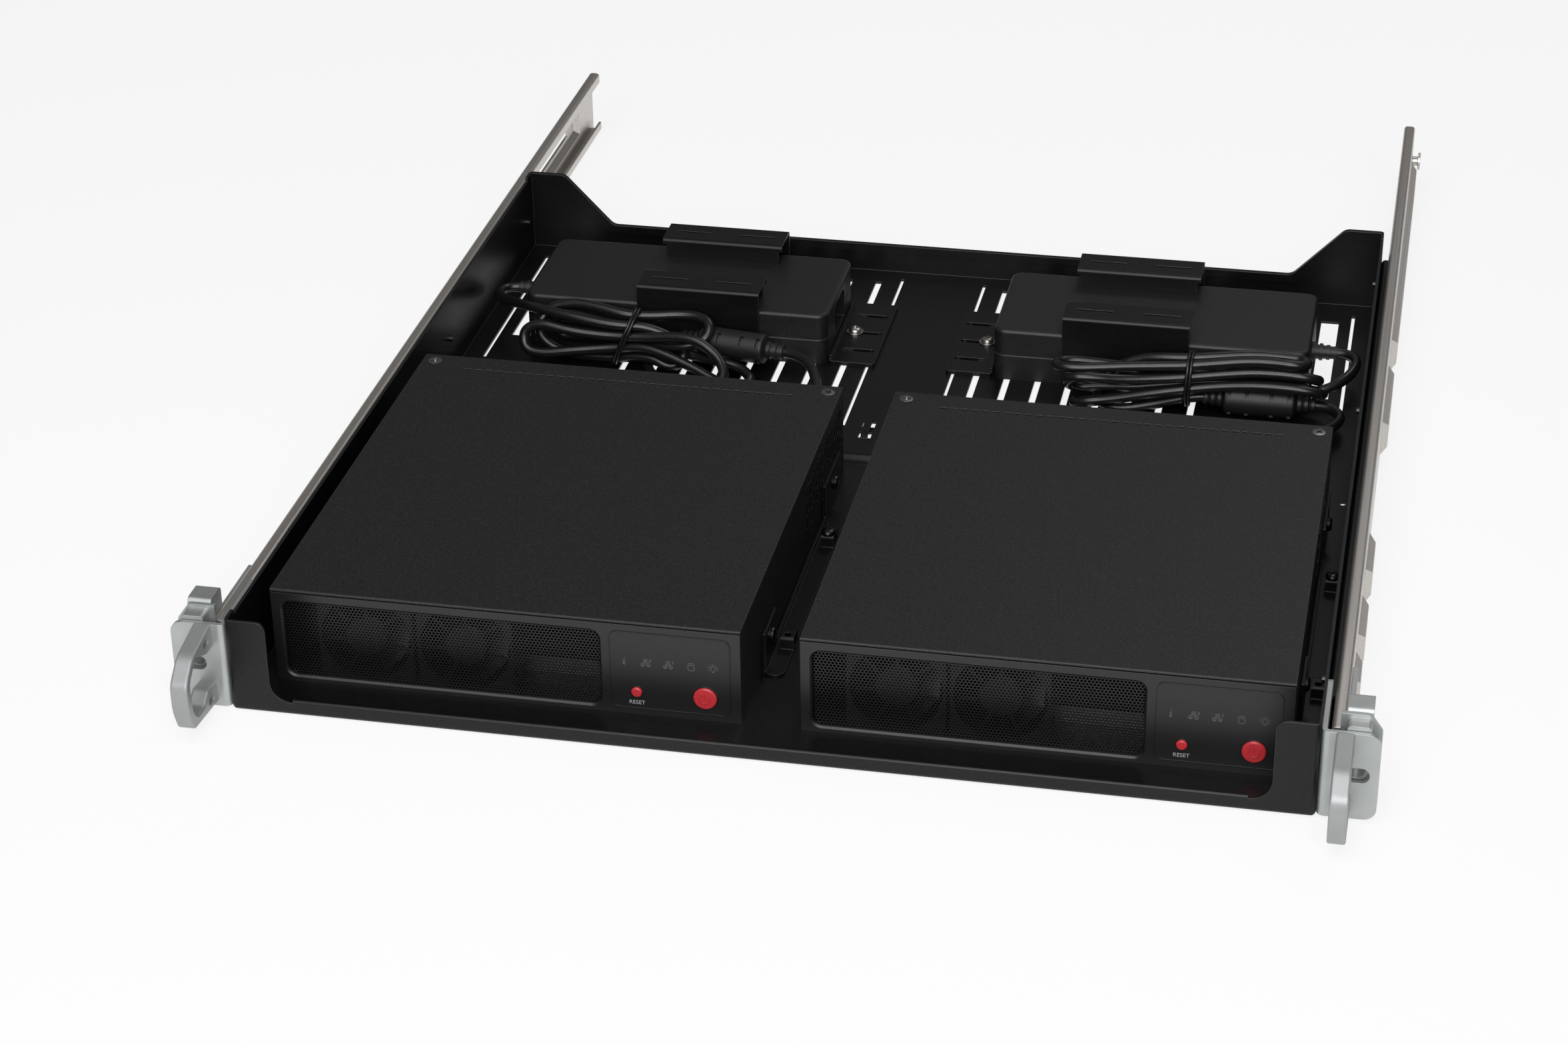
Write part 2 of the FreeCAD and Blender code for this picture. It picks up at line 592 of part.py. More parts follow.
def tray():
    """Folded tray: floor, side walls, cut-down front and rear walls with hems."""
    shell = box((-HALF_WIDTH, HALF_WIDTH), (0, TRAY_DEPTH), (0, TRAY_HEIGHT))
    shell = shell.makeFillet(BEND, [edge for edge in shell.Edges if edge.BoundBox.ZMin < 1])
    hollow_x = (-HALF_WIDTH + SHEET, HALF_WIDTH - SHEET)
    hollow = box(hollow_x, (SHEET, TRAY_DEPTH - SHEET), (SHEET, TRAY_HEIGHT + 1))
    above = TRAY_HEIGHT + 1
    wide = HALF_WIDTH + 1
    trim = box((-wide, wide), (CORNER_DEPTH, TRAY_DEPTH - CORNER_DEPTH), (SIDE_HEIGHT, above))
    tab = HALF_WIDTH - FRONT_TAB
    fold = LIP_HEIGHT - SHEET
    front = [(-wide, above, 0), (-wide, TRAY_HEIGHT, 0), (-tab, TRAY_HEIGHT, FRONT_TAB_ROUND),
             (-tab, fold, FRONT_CUT_ROUND), (tab, fold, FRONT_CUT_ROUND),
             (tab, TRAY_HEIGHT, FRONT_TAB_ROUND), (wide, TRAY_HEIGHT, 0), (wide, above, 0)]
    body = shell.cut([hollow, trim, plate(front, on_xz(-1), (0, SHEET + 2, 0))])
    body = body.cut(plate(rear_outline(0), on_xz(TRAY_DEPTH - SHEET - 1), (0, SHEET + 2, 0)))
    inner = TRAY_DEPTH - 2 * SHEET
    hem = plate(rear_outline(HEM), on_xz(inner), (0, SHEET, 0))
    hem = hem.cut(plate(rear_outline(0), on_xz(inner - 1), (0, SHEET + 2, 0)))
    hem = hem.common(box(hollow_x, (inner, inner + SHEET), (0, TRAY_HEIGHT)))
    run = tab - FRONT_CUT_ROUND
    roll = rod((-run, SHEET, fold), (run, SHEET, fold), SHEET)
    turned = box((-run, run), (SHEET, 2 * SHEET), (LIP_HEIGHT - HEM, fold))
    body = body.fuse([hem, roll, turned]).removeSplitter()
    return body.cut(floor_slots())


def rear_outline(lower):
    """Opening in the rear wall, drawn lower and wider by a distance."""
    top = HALF_WIDTH - REAR_TAB + lower
    foot = HALF_WIDTH - REAR_TAB - REAR_SLOPE + lower
    wide = HALF_WIDTH + 1
    high = TRAY_HEIGHT - lower
    above = TRAY_HEIGHT + 2
    low = REAR_LOW - lower
    return [(-wide, above, 0), (-wide, high, 0), (-top, high, REAR_ROUND), (-foot, low, REAR_ROUND),
            (foot, low, REAR_ROUND), (top, high, REAR_ROUND), (wide, high, 0), (wide, above, 0)]


def floor_slots():
    """Cutters for the slots, tie windows and screw holes in the tray."""
    deep = (-1, SHEET + 1)
    cutters = []
    for side in (-1, 1):
        for i in range(SLOT_COUNT):
            x = side * (SLOT_FIRST + SLOT_PITCH * i)
            cutters.append(box((x - SLOT_WIDTH / 2, x + SLOT_WIDTH / 2), SLOT_SPAN, deep))
        x = side * THIN_INNER
        cutters.append(box((x - THIN_SLOT / 2, x + THIN_SLOT / 2), THIN_INNER_SPAN, deep))
        x = side * THIN_OUTER
        cutters.append(box((x - THIN_SLOT / 2, x + THIN_SLOT / 2), THIN_OUTER_SPAN, deep))
        wide = sorted(side * x for x in WIDE_SLOT)
        cutters.append(box(wide, WIDE_SLOT_SPAN, deep))
        for y in RAIL_SCREW_Y:
            start = (side * (HALF_WIDTH - 4), y, RAIL_SCREW_Z)
            cutters.append(rod(start, (side * (HALF_WIDTH + 1), y, RAIL_SCREW_Z), SCREW_RADIUS + SCREW_FIT))
        for x in clip_tabs(CLIP_GAP):
            for y in (ADAPTER_Y[0] - CLIP_GAP - SHEET, CLIP_REAR - SHEET):
                limits = sorted((side * x[0], side * x[1]))
                cutters.append(box(limits, (y - CLIP_GAP, y + SHEET + CLIP_GAP), deep))
    for i in range(2):
        y = SERVER_REAR + TIE_WINDOW_LAG + TIE_WINDOW_PITCH * i
        cutters.append(box(TIE_WINDOW, (y, y + TIE_WINDOW_LENGTH), deep))
    for x, y, seat in server_screw_places():
        cutters.append(floor_hole(x, y))
        cutters.append(floor_hole(x, SERVER_REAR + SPARE_HOLE_LAG))
    for x, y, seat in stop_screw_places():
        cutters.append(floor_hole(x, y))
    return cutters


def inner_rail():
    """Joggled strip on the tray's side whose edges run behind the outer rail's lips."""
    web = HALF_WIDTH + SHEET / 2
    edge = OUTER_LIP + SHEET + SLIDE_GAP + SHEET / 2
    top = OUTER_HEIGHT[1] - SHEET - SLIDE_GAP
    bottom = OUTER_HEIGHT[0] + SHEET + SLIDE_GAP
    low = INNER_WEB[0] + SHEET / 2
    high = INNER_WEB[1] - SHEET / 2
    middle = [(edge, top), (edge, high), (web, high), (web, low), (edge, low), (edge, bottom)]
    long = INNER_SPAN[1] - INNER_SPAN[0]
    rail = plate(strip(middle, SHEET, RAIL_BEND), on_xz(INNER_SPAN[0]), (0, long, 0))
    holes = []
    for y in RAIL_SCREW_Y:
        start = (HALF_WIDTH - 1, y, RAIL_SCREW_Z)
        holes.append(rod(start, (edge, y, RAIL_SCREW_Z), SCREW_RADIUS + SCREW_FIT))
    return rail.cut(holes)


def frustum(face_x, depth, y, z, inset):
    """Block on a side face whose walls slope in towards its outer end."""
    base = outline(rectangle(y, z), on_yz(face_x))
    tip_y = (y[0] + inset, y[1] - inset)
    tip_z = (z[0] + inset, z[1] - inset)
    return Part.makeLoft([base, outline(rectangle(tip_y, tip_z), on_yz(face_x + depth))], True, True)


def outer_rail():
    """Lipped channel fixed in the rack, with pressed bosses, a long slot and a riveted stud."""
    web = OUTER_WEB + SHEET / 2
    lip = OUTER_LIP + SHEET / 2
    low = OUTER_HEIGHT[0] + SHEET / 2
    high = OUTER_HEIGHT[1] - SHEET / 2
    middle = [(lip, high - OUTER_LIP_HEIGHT), (lip, high), (web, high), (web, low), (lip, low),
              (lip, low + OUTER_LIP_HEIGHT)]
    long = OUTER_SPAN[1] - OUTER_SPAN[0]
    rail = plate(strip(middle, SHEET, RAIL_BEND), on_xz(OUTER_SPAN[0]), (0, long, 0))
    bosses = [frustum(OUTER_FACE, EMBOSS_DEPTH, span, EMBOSS_Z, EMBOSS_DEPTH) for span in EMBOSS_Y]
    hollows = []
    for span in EMBOSS_Y:
        inside_y = (span[0] + SHEET, span[1] - SHEET)
        inside_z = (EMBOSS_Z[0] + SHEET, EMBOSS_Z[1] - SHEET)
        hollows.append(frustum(OUTER_WEB, EMBOSS_DEPTH, inside_y, inside_z, EMBOSS_DEPTH))
    slot = box((OUTER_WEB, OUTER_FACE + EMBOSS_DEPTH + 1), EMBOSS_SLOT, EMBOSS_SLOT_Z)
    y, z = STUD
    neck = OUTER_FACE + EMBOSS_DEPTH
    stud = rod((OUTER_FACE, y, z), (neck + 0.5, y, z), STUD_RADIUS)
    head = rod((neck, y, z), (neck + SHEET, y, z), STUD_HEAD)
    return rail.fuse(bosses).cut(hollows + [slot]).fuse([stud, head]).removeSplitter()


def rack_bracket():
    """Front end fitting of an outer rail: plate, square pegs, screw boss and side leg."""
    outer = EAR_EDGE
    back = BRACKET_BACK
    low, high = BRACKET_HEIGHT
    face = [(BRACKET_EDGE, low, 0), (outer, low, 2), (outer, high - 7, 2), (outer - 5, high, 2),
            (BRACKET_EDGE, high, 0)]
    body = plate(face, on_xz(BRACKET_FRONT), (0, BRACKET_SHEET, 0))
    pieces = [box((OUTER_FACE, OUTER_FACE + BRACKET_SHEET), (back, BRACKET_LEG), BRACKET_LEG_Z)]
    half = PEG_SIZE / 2
    for z in PEG_Z:
        square = rectangle((SLOT_X - half, SLOT_X + half), (z - half, z + half), PEG_ROUND)
        pieces.append(plate(square, on_xz(PEG_FRONT), (0, BRACKET_FRONT - PEG_FRONT, 0)))
    pieces.append(rod((SLOT_X, BOSS_FRONT, EAR_SLOT_Z), (SLOT_X, back, EAR_SLOT_Z), BOSS_RADIUS))
    block = rectangle((back, back + BLOCK_DEPTH), BLOCK_Z, 2)
    pieces.append(plate(block, on_yz(BLOCK_X[0]), (BLOCK_X[1] - BLOCK_X[0], 0, 0)))
    bore = rod((SLOT_X, 0, EAR_SLOT_Z), (SLOT_X, back + SHEET, EAR_SLOT_Z), BOSS_BORE)
    return body.fuse(pieces).removeSplitter().cut(bore)


def ear():
    """Bent rack ear with one screw slot, its leg against the tray's side."""
    outer = EAR_EDGE
    middle = [(HALF_WIDTH + EAR_SHEET / 2, EAR_LEG), (HALF_WIDTH + EAR_SHEET / 2, EAR_SHEET / 2),
              (outer, EAR_SHEET / 2)]
    tall = EAR_HEIGHT[1] - EAR_HEIGHT[0]
    body = plate(strip(middle, EAR_SHEET, 1.0), on_xy(EAR_HEIGHT[0]), (0, 0, tall))
    face = [(HALF_WIDTH - 1, EAR_HEIGHT[0], 0), (outer, EAR_HEIGHT[0], EAR_ROUND),
            (outer, EAR_HEIGHT[1], EAR_ROUND), (HALF_WIDTH - 1, EAR_HEIGHT[1], 0)]
    body = body.common(plate(face, on_xz(-1), (0, EAR_LEG + 2, 0)))
    side = rectangle((-EAR_LEG, EAR_LEG), EAR_HEIGHT, EAR_ROUND)
    body = body.common(plate(side, on_yz(HALF_WIDTH - 1), (outer, 0, 0)))
    reach = EAR_SLOT_LENGTH / 2
    slot_z = (EAR_SLOT_Z - EAR_SLOT_HALF, EAR_SLOT_Z + EAR_SLOT_HALF)
    slot = rectangle((SLOT_X - reach, SLOT_X + reach), slot_z, EAR_SLOT_HALF)
    cutters = [plate(slot, on_xz(-1), (0, EAR_SHEET + 2, 0))]
    for z in HANDLE_SCREW_Z:
        cutters.append(sunk_hole((sum(HANDLE_X) / 2, EAR_SHEET, z), (0, -1, 0), EAR_SHEET + 1))
    return body.cut(cutters)


def handle():
    """Cast pull handle: one bent strap between two lugs, with rounded edges and oblong eyes."""
    low, high = HANDLE_HEIGHT
    reach = HANDLE_REACH
    inner = reach - HANDLE_STRAP
    outside = [(0, high, 0), (9.8 - reach, high - 3.3, 12), (-reach, high - 11.6, 8),
               (-reach, low + 12.6, 20), (4.3 - reach, low + 2.5, 4), (0, low, 0)]
    finger = [(1, high - 10.6, 0), (-7, high - 10.4, 10), (8.5 - inner, high - 5.2, 3),
              (-inner, high - 12.6, 5), (0.8 - inner, low + 10.6, 6), (4.8 - inner, low + 6, 2.5),
              (11.9 - inner, low + 6, 3), (-8.3, low + 10.5, 4), (1, low + 9.1, 0)]
    wide = HANDLE_X[1] - HANDLE_X[0]
    body = plate(outside, on_yz(HANDLE_X[0]), (wide, 0, 0))
    body = body.cut(plate(finger, on_yz(HANDLE_X[0] - 1), (wide + 2, 0, 0)))
    rims = [edge for edge in body.Edges if edge.BoundBox.XLength < 0.01 and edge.BoundBox.YLength > 0.01]
    body = body.makeFillet(HANDLE_ROUND, rims)
    cutters = []
    for z in HANDLE_SCREW_Z:
        half = HANDLE_HOLE[0] / 2
        eye = rectangle((-HANDLE_HOLE_REACH, HANDLE_HOLE[1] - HANDLE_HOLE_REACH), (z - half, z + half), half)
        cutters.append(plate(eye, on_yz(HANDLE_X[0] - 1), (wide + 2, 0, 0)))
        middle = sum(HANDLE_X) / 2
        tip = EAR_SHEET - HANDLE_SCREW_LENGTH - SCREW_FIT
        cutters.append(rod((middle, 1, z), (middle, tip, z), SCREW_RADIUS + SCREW_FIT))
    return body.cut(cutters)


def chassis():
    """Server tub: floor, sides with vents, rear wall with port cut-outs, board posts and corner tabs."""
    top = SERVER_HEIGHT - SKIN
    body = box((0, SERVER_WIDTH), (PANEL, SERVER_DEPTH), (0, top))
    body = body.cut(box((SKIN, SERVER_WIDTH - SKIN), (0, SERVER_DEPTH - SKIN), (SKIN, top + 1)))
    extra = []
    for x in (BOARD_X[0] + 5, BOARD_X[1] - 5):
        for y in (BOARD_Y[0] + 5, BOARD_Y[1] - 8):
            extra.append(rod((x, y, SKIN), (x, y, BOARD_Z), POST_RADIUS))
    wide, deep, thick = CORNER_TAB
    inside = SERVER_DEPTH - SKIN
    for x in ((SKIN, SKIN + wide), (SERVER_WIDTH - SKIN - wide, SERVER_WIDTH - SKIN)):
        extra.append(box(x, (inside - deep, inside), (top - thick, top)))
    cutters = []
    pitch = (SIDE_VENT_Y[1] - SIDE_VENT_Y[0]) / (SIDE_VENT_COUNT - 1)
    for i in range(SIDE_VENT_COUNT):
        y = SIDE_VENT_Y[0] + pitch * i
        for wall in ((-1, SKIN + 0.1), (SERVER_WIDTH - SKIN - 0.1, SERVER_WIDTH + 1)):
            low = SIDE_VENT_Z[0] + (SIDE_VENT_LIFT if abs(y - SIDE_SCREW[1][0]) < SIDE_VENT_LIFT else 0)
            cutters.append(box(wall, (y - VENT_WIDTH / 2, y + VENT_WIDTH / 2), (low, SIDE_VENT_Z[1])))
    pitch = (REAR_VENT_X[1] - REAR_VENT_X[0]) / (REAR_VENT_COUNT - 1)
    rear = (SERVER_DEPTH - SKIN - 0.1, SERVER_DEPTH + 1)
    for i in range(REAR_VENT_COUNT):
        x = REAR_VENT_X[0] + pitch * i
        cutters.append(box((x - VENT_WIDTH / 2, x + VENT_WIDTH / 2), rear, REAR_VENT_Z))
    for left, right, high in PORTS:
        port_z = (BOARD_TOP - PORT_FIT, high + PORT_FIT)
        cutters.append(box((left - PORT_FIT, right + PORT_FIT), rear, port_z))
    cutters.append(rod((JACK_X, rear[0], JACK_Z), (JACK_X, rear[1], JACK_Z), JACK_BORE + 0.6))
    for y, z in SIDE_SCREW:
        start = (SERVER_WIDTH - SKIN - 1, y, z)
        cutters.append(rod(start, (SERVER_WIDTH + 1, y, z), SCREW_RADIUS + SCREW_FIT))
    for x in (COVER_SCREW, SERVER_WIDTH - COVER_SCREW):
        y = SERVER_DEPTH - COVER_SCREW
        cutters.append(rod((x, y, top - 5), (x, y, top + 1), SUNK_HEAD))
    return body.fuse(extra).cut(cutters)


def cover():
    """Server lid: flat sheet with folded side returns, a row of louvres and countersunk holes."""
    under = SERVER_HEIGHT - SKIN
    body = box((0, SERVER_WIDTH), (0, SERVER_DEPTH), (under, SERVER_HEIGHT))
    front = [edge for edge in body.Edges if edge.BoundBox.YMax < 0.01
             and edge.BoundBox.ZMin > SERVER_HEIGHT - 0.01]
    body = body.makeFillet(0.7, front)
    returns = []
    near = SKIN + COVER_RETURN_GAP
    run = (COVER_RETURN_ENDS[0], SERVER_DEPTH - COVER_RETURN_ENDS[1])
    for x in ((near, near + SKIN), (SERVER_WIDTH - near - SKIN, SERVER_WIDTH - near)):
        returns.append(box(x, run, (under - COVER_RETURN, under)))
    cutters = []
    y = SERVER_DEPTH - LOUVRE_BACK
    long, wide = LOUVRE_SIZE
    through = (under - 1, SERVER_HEIGHT + 1)
    for i in range(LOUVRE_COUNT):
        x = LOUVRE_MARGINS[0] + LOUVRE_PITCH * i
        cutters.append(box((x - long / 2, x + long / 2), (y - wide / 2, y + wide / 2), through))
    for x in (COVER_SCREW, SERVER_WIDTH - COVER_SCREW):
        cutters.append(sunk_hole((x, SERVER_DEPTH - COVER_SCREW, SERVER_HEIGHT), (0, 0, -1), SKIN + 1))
    return body.fuse(returns).cut(cutters)


def front_panel():
    """Moulded front: bevelled mesh window, recess for the control plate and button holes."""
    body = box((0, SERVER_WIDTH), (0, PANEL), (0, PANEL_TOP))
    body = body.cut(plate(rectangle(WINDOW_X, WINDOW_Z, WINDOW_ROUND), on_xz(-1), (0, PANEL + 2, 0)))
    inside = [edge for edge in body.Edges if edge.BoundBox.YMax < 0.01 and edge.BoundBox.XMin > 1
              and edge.BoundBox.XMax < CONTROL_X[0]]
    body = body.makeChamfer(WINDOW_CHAMFER, inside)
    recess = plate(rectangle(CONTROL_X, CONTROL_Z, CONTROL_ROUND), on_xz(-1), (0, CONTROL_RECESS + 1, 0))
    return body.cut([recess] + button_holes())


def button_holes():
    """Clearance holes for the two buttons."""
    holes = []
    for x, radius in ((POWER_X, POWER_RADIUS), (RESET_X, RESET_RADIUS)):
        holes.append(rod((x, -1, BUTTON_Z), (x, PANEL + 1, BUTTON_Z), radius + BUTTON_FIT))
    return holes


def control_plate():
    """Inlaid plate round the lamps and buttons."""
    front = CONTROL_RECESS - CONTROL_SHEET
    body = plate(rectangle(CONTROL_X, CONTROL_Z, CONTROL_ROUND), on_xz(front), (0, CONTROL_SHEET, 0))
    return body.cut(button_holes())


def button(x, radius):
    """Push button with a rounded face and a flange that holds it behind the panel."""
    cap = rod((x, -BUTTON_PROUD, BUTTON_Z), (x, BUTTON_BACK[0], BUTTON_Z), radius)
    rim = [edge for edge in cap.Edges if edge.BoundBox.YMax < -BUTTON_PROUD + 0.01]
    cap = cap.makeChamfer(BUTTON_EDGE, rim)
    near, far = BUTTON_BACK
    return cap.fuse(rod((x, near, BUTTON_Z), (x, far, BUTTON_Z), radius + BUTTON_FLANGE))


def grille():
    """Perforated sheet behind the window."""
    x = (WINDOW_X[0] - MESH_LAP, WINDOW_X[1] + MESH_LAP)
    z = (WINDOW_Z[0] - MESH_LAP_LOW, WINDOW_Z[1] + MESH_LAP)
    body = box(x, (PANEL, PANEL + MESH_SHEET), z)
    cutters = []
    rise = MESH_PITCH * math.sqrt(3) / 2
    across = MESH_HOLE / math.sqrt(3)
    middle_z = sum(WINDOW_Z) / 2
    rows = int((WINDOW_Z[1] - WINDOW_Z[0]) / 2 / rise)
    for row in range(-rows, rows + 1):
        shift = MESH_PITCH / 2 if row % 2 else 0
        columns = int((WINDOW_X[1] - WINDOW_X[0] - MESH_PITCH) / 2 / MESH_PITCH)
        for column in range(-columns, columns + 1 - row % 2):
            centre_x = sum(WINDOW_X) / 2 + column * MESH_PITCH + shift
            centre_z = middle_z + row * rise
            corners = []
            for k in range(6):
                turn = math.radians(30 + 60 * k)
                corners.append((centre_x + across * math.cos(turn), centre_z + across * math.sin(turn), 0))
            cutters.append(plate(corners, on_xz(PANEL - 1), (0, MESH_SHEET + 2, 0)))
    return body.cut(cutters)


def fan_frame(x):
    """Square fan housing with a round duct, a rear motor cup on four struts and a shaft bore."""
    z = SKIN + FAN_SIZE / 2
    half = FAN_SIZE / 2
    back = FAN_Y + FAN_DEPTH
    square = rectangle((x - half, x + half), (z - half, z + half), FAN_ROUND)
    body = plate(square, on_xz(FAN_Y), (0, FAN_DEPTH, 0))
    body = body.cut(rod((x, FAN_Y - 1, z), (x, back + 1, z), FAN_BORE))
    cup = rod((x, back - FAN_CUP, z), (x, back, z), FAN_HUB)
    reach = FAN_BORE + 0.5
    strut = FAN_STRUT / 2
    across = box((x - reach, x + reach), (back - 2, back), (z - strut, z + strut))
    upright = box((x - strut, x + strut), (back - 2, back), (z - reach, z + reach))
    bore = rod((x, back - FAN_CUP - 1, z), (x, back + 1, z), SHAFT + SHAFT_FIT)
    return body.fuse([cup, across, upright]).removeSplitter().cut(bore)


def fan_rotor(x):
    """Bladed fan wheel: a hub, seven twisted blades and the shaft."""
    z = SKIN + FAN_SIZE / 2
    front = FAN_Y + FAN_FRONT_GAP
    hub = rod((x, front, z), (x, front + HUB_LENGTH, z), FAN_HUB)
    rim = [edge for edge in hub.Edges if edge.BoundBox.YMax < front + 0.01]
    hub = hub.makeChamfer(1.0, rim)
    rear = HUB_LENGTH - BLADE_SHEET
    blades = []
    for i in range(FAN_BLADES):
        turn = 2 * math.pi * i / FAN_BLADES
        radial = Vector(math.cos(turn), 0, math.sin(turn))
        tangent = Vector(-math.sin(turn), 0, math.cos(turn))
        wires = []
        for radius, sweep in zip((FAN_HUB - 1.5, FAN_TIP), BLADE_SWEEPS):
            points = []
            corners = ((-sweep, 1.0), (BLADE_SHEET - sweep, 1.0), (sweep + BLADE_SHEET, rear), (sweep, rear))
            for along, deep in corners:
                points.append(Vector(x, front + deep, z) + radial * radius + tangent * along)
            wires.append(Part.makePolygon(points + points[:1]))
        blades.append(Part.makeLoft(wires, True, True))
    shaft = rod((x, front + rear, z), (x, FAN_Y + FAN_DEPTH - 0.4, z), SHAFT)
    return hub.fuse(blades + [shaft])


def motherboard():
    """Board with its soldered ports, power jack, processor and memory."""
    body = box(BOARD_X, BOARD_Y, (BOARD_Z, BOARD_TOP))
    pieces = [box(CHIP_X, CHIP_Y, (BOARD_TOP, CHIP_TOP))]
    rear = SERVER_DEPTH + 0.4
    mouths = []
    for left, right, high in PORTS:
        pieces.append(box((left, right), (BOARD_Y[1] - PORT_DEPTH, rear), (BOARD_TOP, high)))
        mouths.append(box((left + PORT_WALL, right - PORT_WALL), (rear - PORT_MOUTH, rear + 1),
                          (BOARD_TOP + PORT_WALL, high - PORT_WALL)))
    jack = box((JACK_X - JACK_HALF, JACK_X + JACK_HALF), (BOARD_Y[1] - 8, SERVER_DEPTH - SKIN - 0.2),
               (BOARD_TOP, JACK_Z + JACK_HALF + 0.1))
    pieces.append(jack)
    mouths.append(rod((JACK_X, BOARD_Y[1] - 6, JACK_Z), (JACK_X, rear, JACK_Z), JACK_BORE))
    edge = BOARD_X[1]
    near, far = BOARD_Y
    pieces.append(box((edge - 75, edge - 3), (far - 46, far - 40), (BOARD_TOP, BOARD_TOP + 4.4)))
    pieces.append(box((edge - 73, edge - 5), (far - 74, far - 44), (BOARD_TOP + 2, BOARD_TOP + 3.2)))
    pieces.append(box((edge - 69, edge - 57), (near + 12, near + 24), (BOARD_TOP, BOARD_TOP + 1.6)))
    pieces.append(box((edge - 47, edge - 39), (near + 8, near + 28), (BOARD_TOP, BOARD_TOP + 6.4)))
    return body.fuse(pieces).removeSplitter().cut(mouths)


def heatsink():
    """Finned cooler on the processor, fins along the air flow."""
    body = box(SINK_X, SINK_Y, (CHIP_TOP, SINK_TOP))
    gap = (SINK_X[1] - SINK_X[0] - SINK_FINS * FIN_SHEET) / (SINK_FINS - 1)
    cutters = []
    slit_z = (CHIP_TOP + SINK_BASE, SINK_TOP + 1)
    for i in range(SINK_FINS - 1):
        x = SINK_X[0] + FIN_SHEET + i * (FIN_SHEET + gap)
        cutters.append(box((x, x + gap), (SINK_Y[0] - 1, SINK_Y[1] + 1), slit_z))
    return body.cut(cutters)


def drive():
    """Small solid-state drive on the server floor, with its plug recess."""
    body = plate(rectangle(DRIVE_X, DRIVE_Y, 2), on_xy(SKIN), (0, 0, DRIVE_SIZE[2]))
    recess = box((DRIVE_X[0] - 1, DRIVE_X[0] + 5), (DRIVE_Y[0] + 12, DRIVE_Y[1] - 18), (SKIN + 1, SKIN + 5))
    return body.cut(recess)


def server_bracket():
    """Folded strip that ties a server to the floor: upright ears, raised tabs and a rounded tongue."""
    start = FOOT_SPAN[0] - SERVER_FRONT
    end = FOOT_SPAN[1] - SERVER_FRONT
    tongue = [(FOOT_X[0], start, FOOT_ROUND), (FOOT_X[1], start, FOOT_ROUND), (FOOT_X[1], end, 1),
              (FOOT_X[0], end, 1)]
    body = plate(tongue, on_xy(0), (0, 0, SHEET))
    upright = (FOOT_X[0], FOOT_X[0] + SHEET)
    pieces = [box(upright, (start + FOOT_LIP_INSET, FOOT_EAR_Y[1][1] - SERVER_FRONT), (0, SHEET + FOOT_LIP))]
    for low, high in FOOT_EAR_Y:
        ear_side = rectangle((low - SERVER_FRONT, high - SERVER_FRONT), (0, FOOT_EAR_TOP), 0.4)
        pieces.append(plate(ear_side, on_yz(upright[0]), (SHEET, 0, 0)))
    cutters = []
    for y in FOOT_TAB_Y:
        near = y - SERVER_FRONT
        far = near + FOOT_TAB_DEPTH
        peak = FOOT_TAB_TOP - FLOOR - SHEET / 2
        base = SHEET / 2
        middle = [(near - 3, base), (near + SHEET / 2, base), (near + SHEET / 2, peak), (far, peak),
                  (far, base), (far + 3, base)]
        section = strip(middle, SHEET, 0.4)
        pieces.append(plate(section, on_yz(FOOT_TAB_X[0]), (FOOT_TAB_X[1] - FOOT_TAB_X[0], 0, 0)))
        middle_x = sum(FOOT_TAB_X) / 2
        hole_y = near + FOOT_TAB_DEPTH / 3
        top = (middle_x, hole_y, FOOT_TAB_TOP)
        cutters.append(rod((middle_x, hole_y, -1), top, SCREW_RADIUS + SCREW_FIT))
    for y, z in SIDE_SCREW:
        cutters.append(rod((-1, y, z), (3, y, z), SCREW_RADIUS + SCREW_FIT))
    return body.fuse(pieces).removeSplitter().cut(cutters)


def adapter_half(bottom, top):
    """One half of an adapter's case, with room for the mains inlet."""
    body = plate(rectangle(ADAPTER_X, ADAPTER_Y, ADAPTER_CORNER), on_xy(bottom), (0, 0, top - bottom))
    rim = [edge for edge in body.Edges if abs(edge.BoundBox.ZMin - ADAPTER_SPLIT) < 0.01
           and edge.BoundBox.ZLength < 0.01]
    body = body.makeChamfer(ADAPTER_GROOVE, rim)
    if top > ADAPTER_SPLIT + 1:
        crown = [edge for edge in body.Edges if edge.BoundBox.ZMin > top - 0.01]
        body = body.makeFillet(ADAPTER_TOP_ROUND, crown)
    deep, tall = INLET_SIZE
    pocket = box((ADAPTER_X[0] - 1, ADAPTER_X[0] + INLET_DEPTH),
                 (ADAPTER_MIDDLE - deep / 2, ADAPTER_MIDDLE + deep / 2),
                 (ADAPTER_SPLIT - tall / 2, ADAPTER_SPLIT + tall / 2))
    return body.cut(pocket)


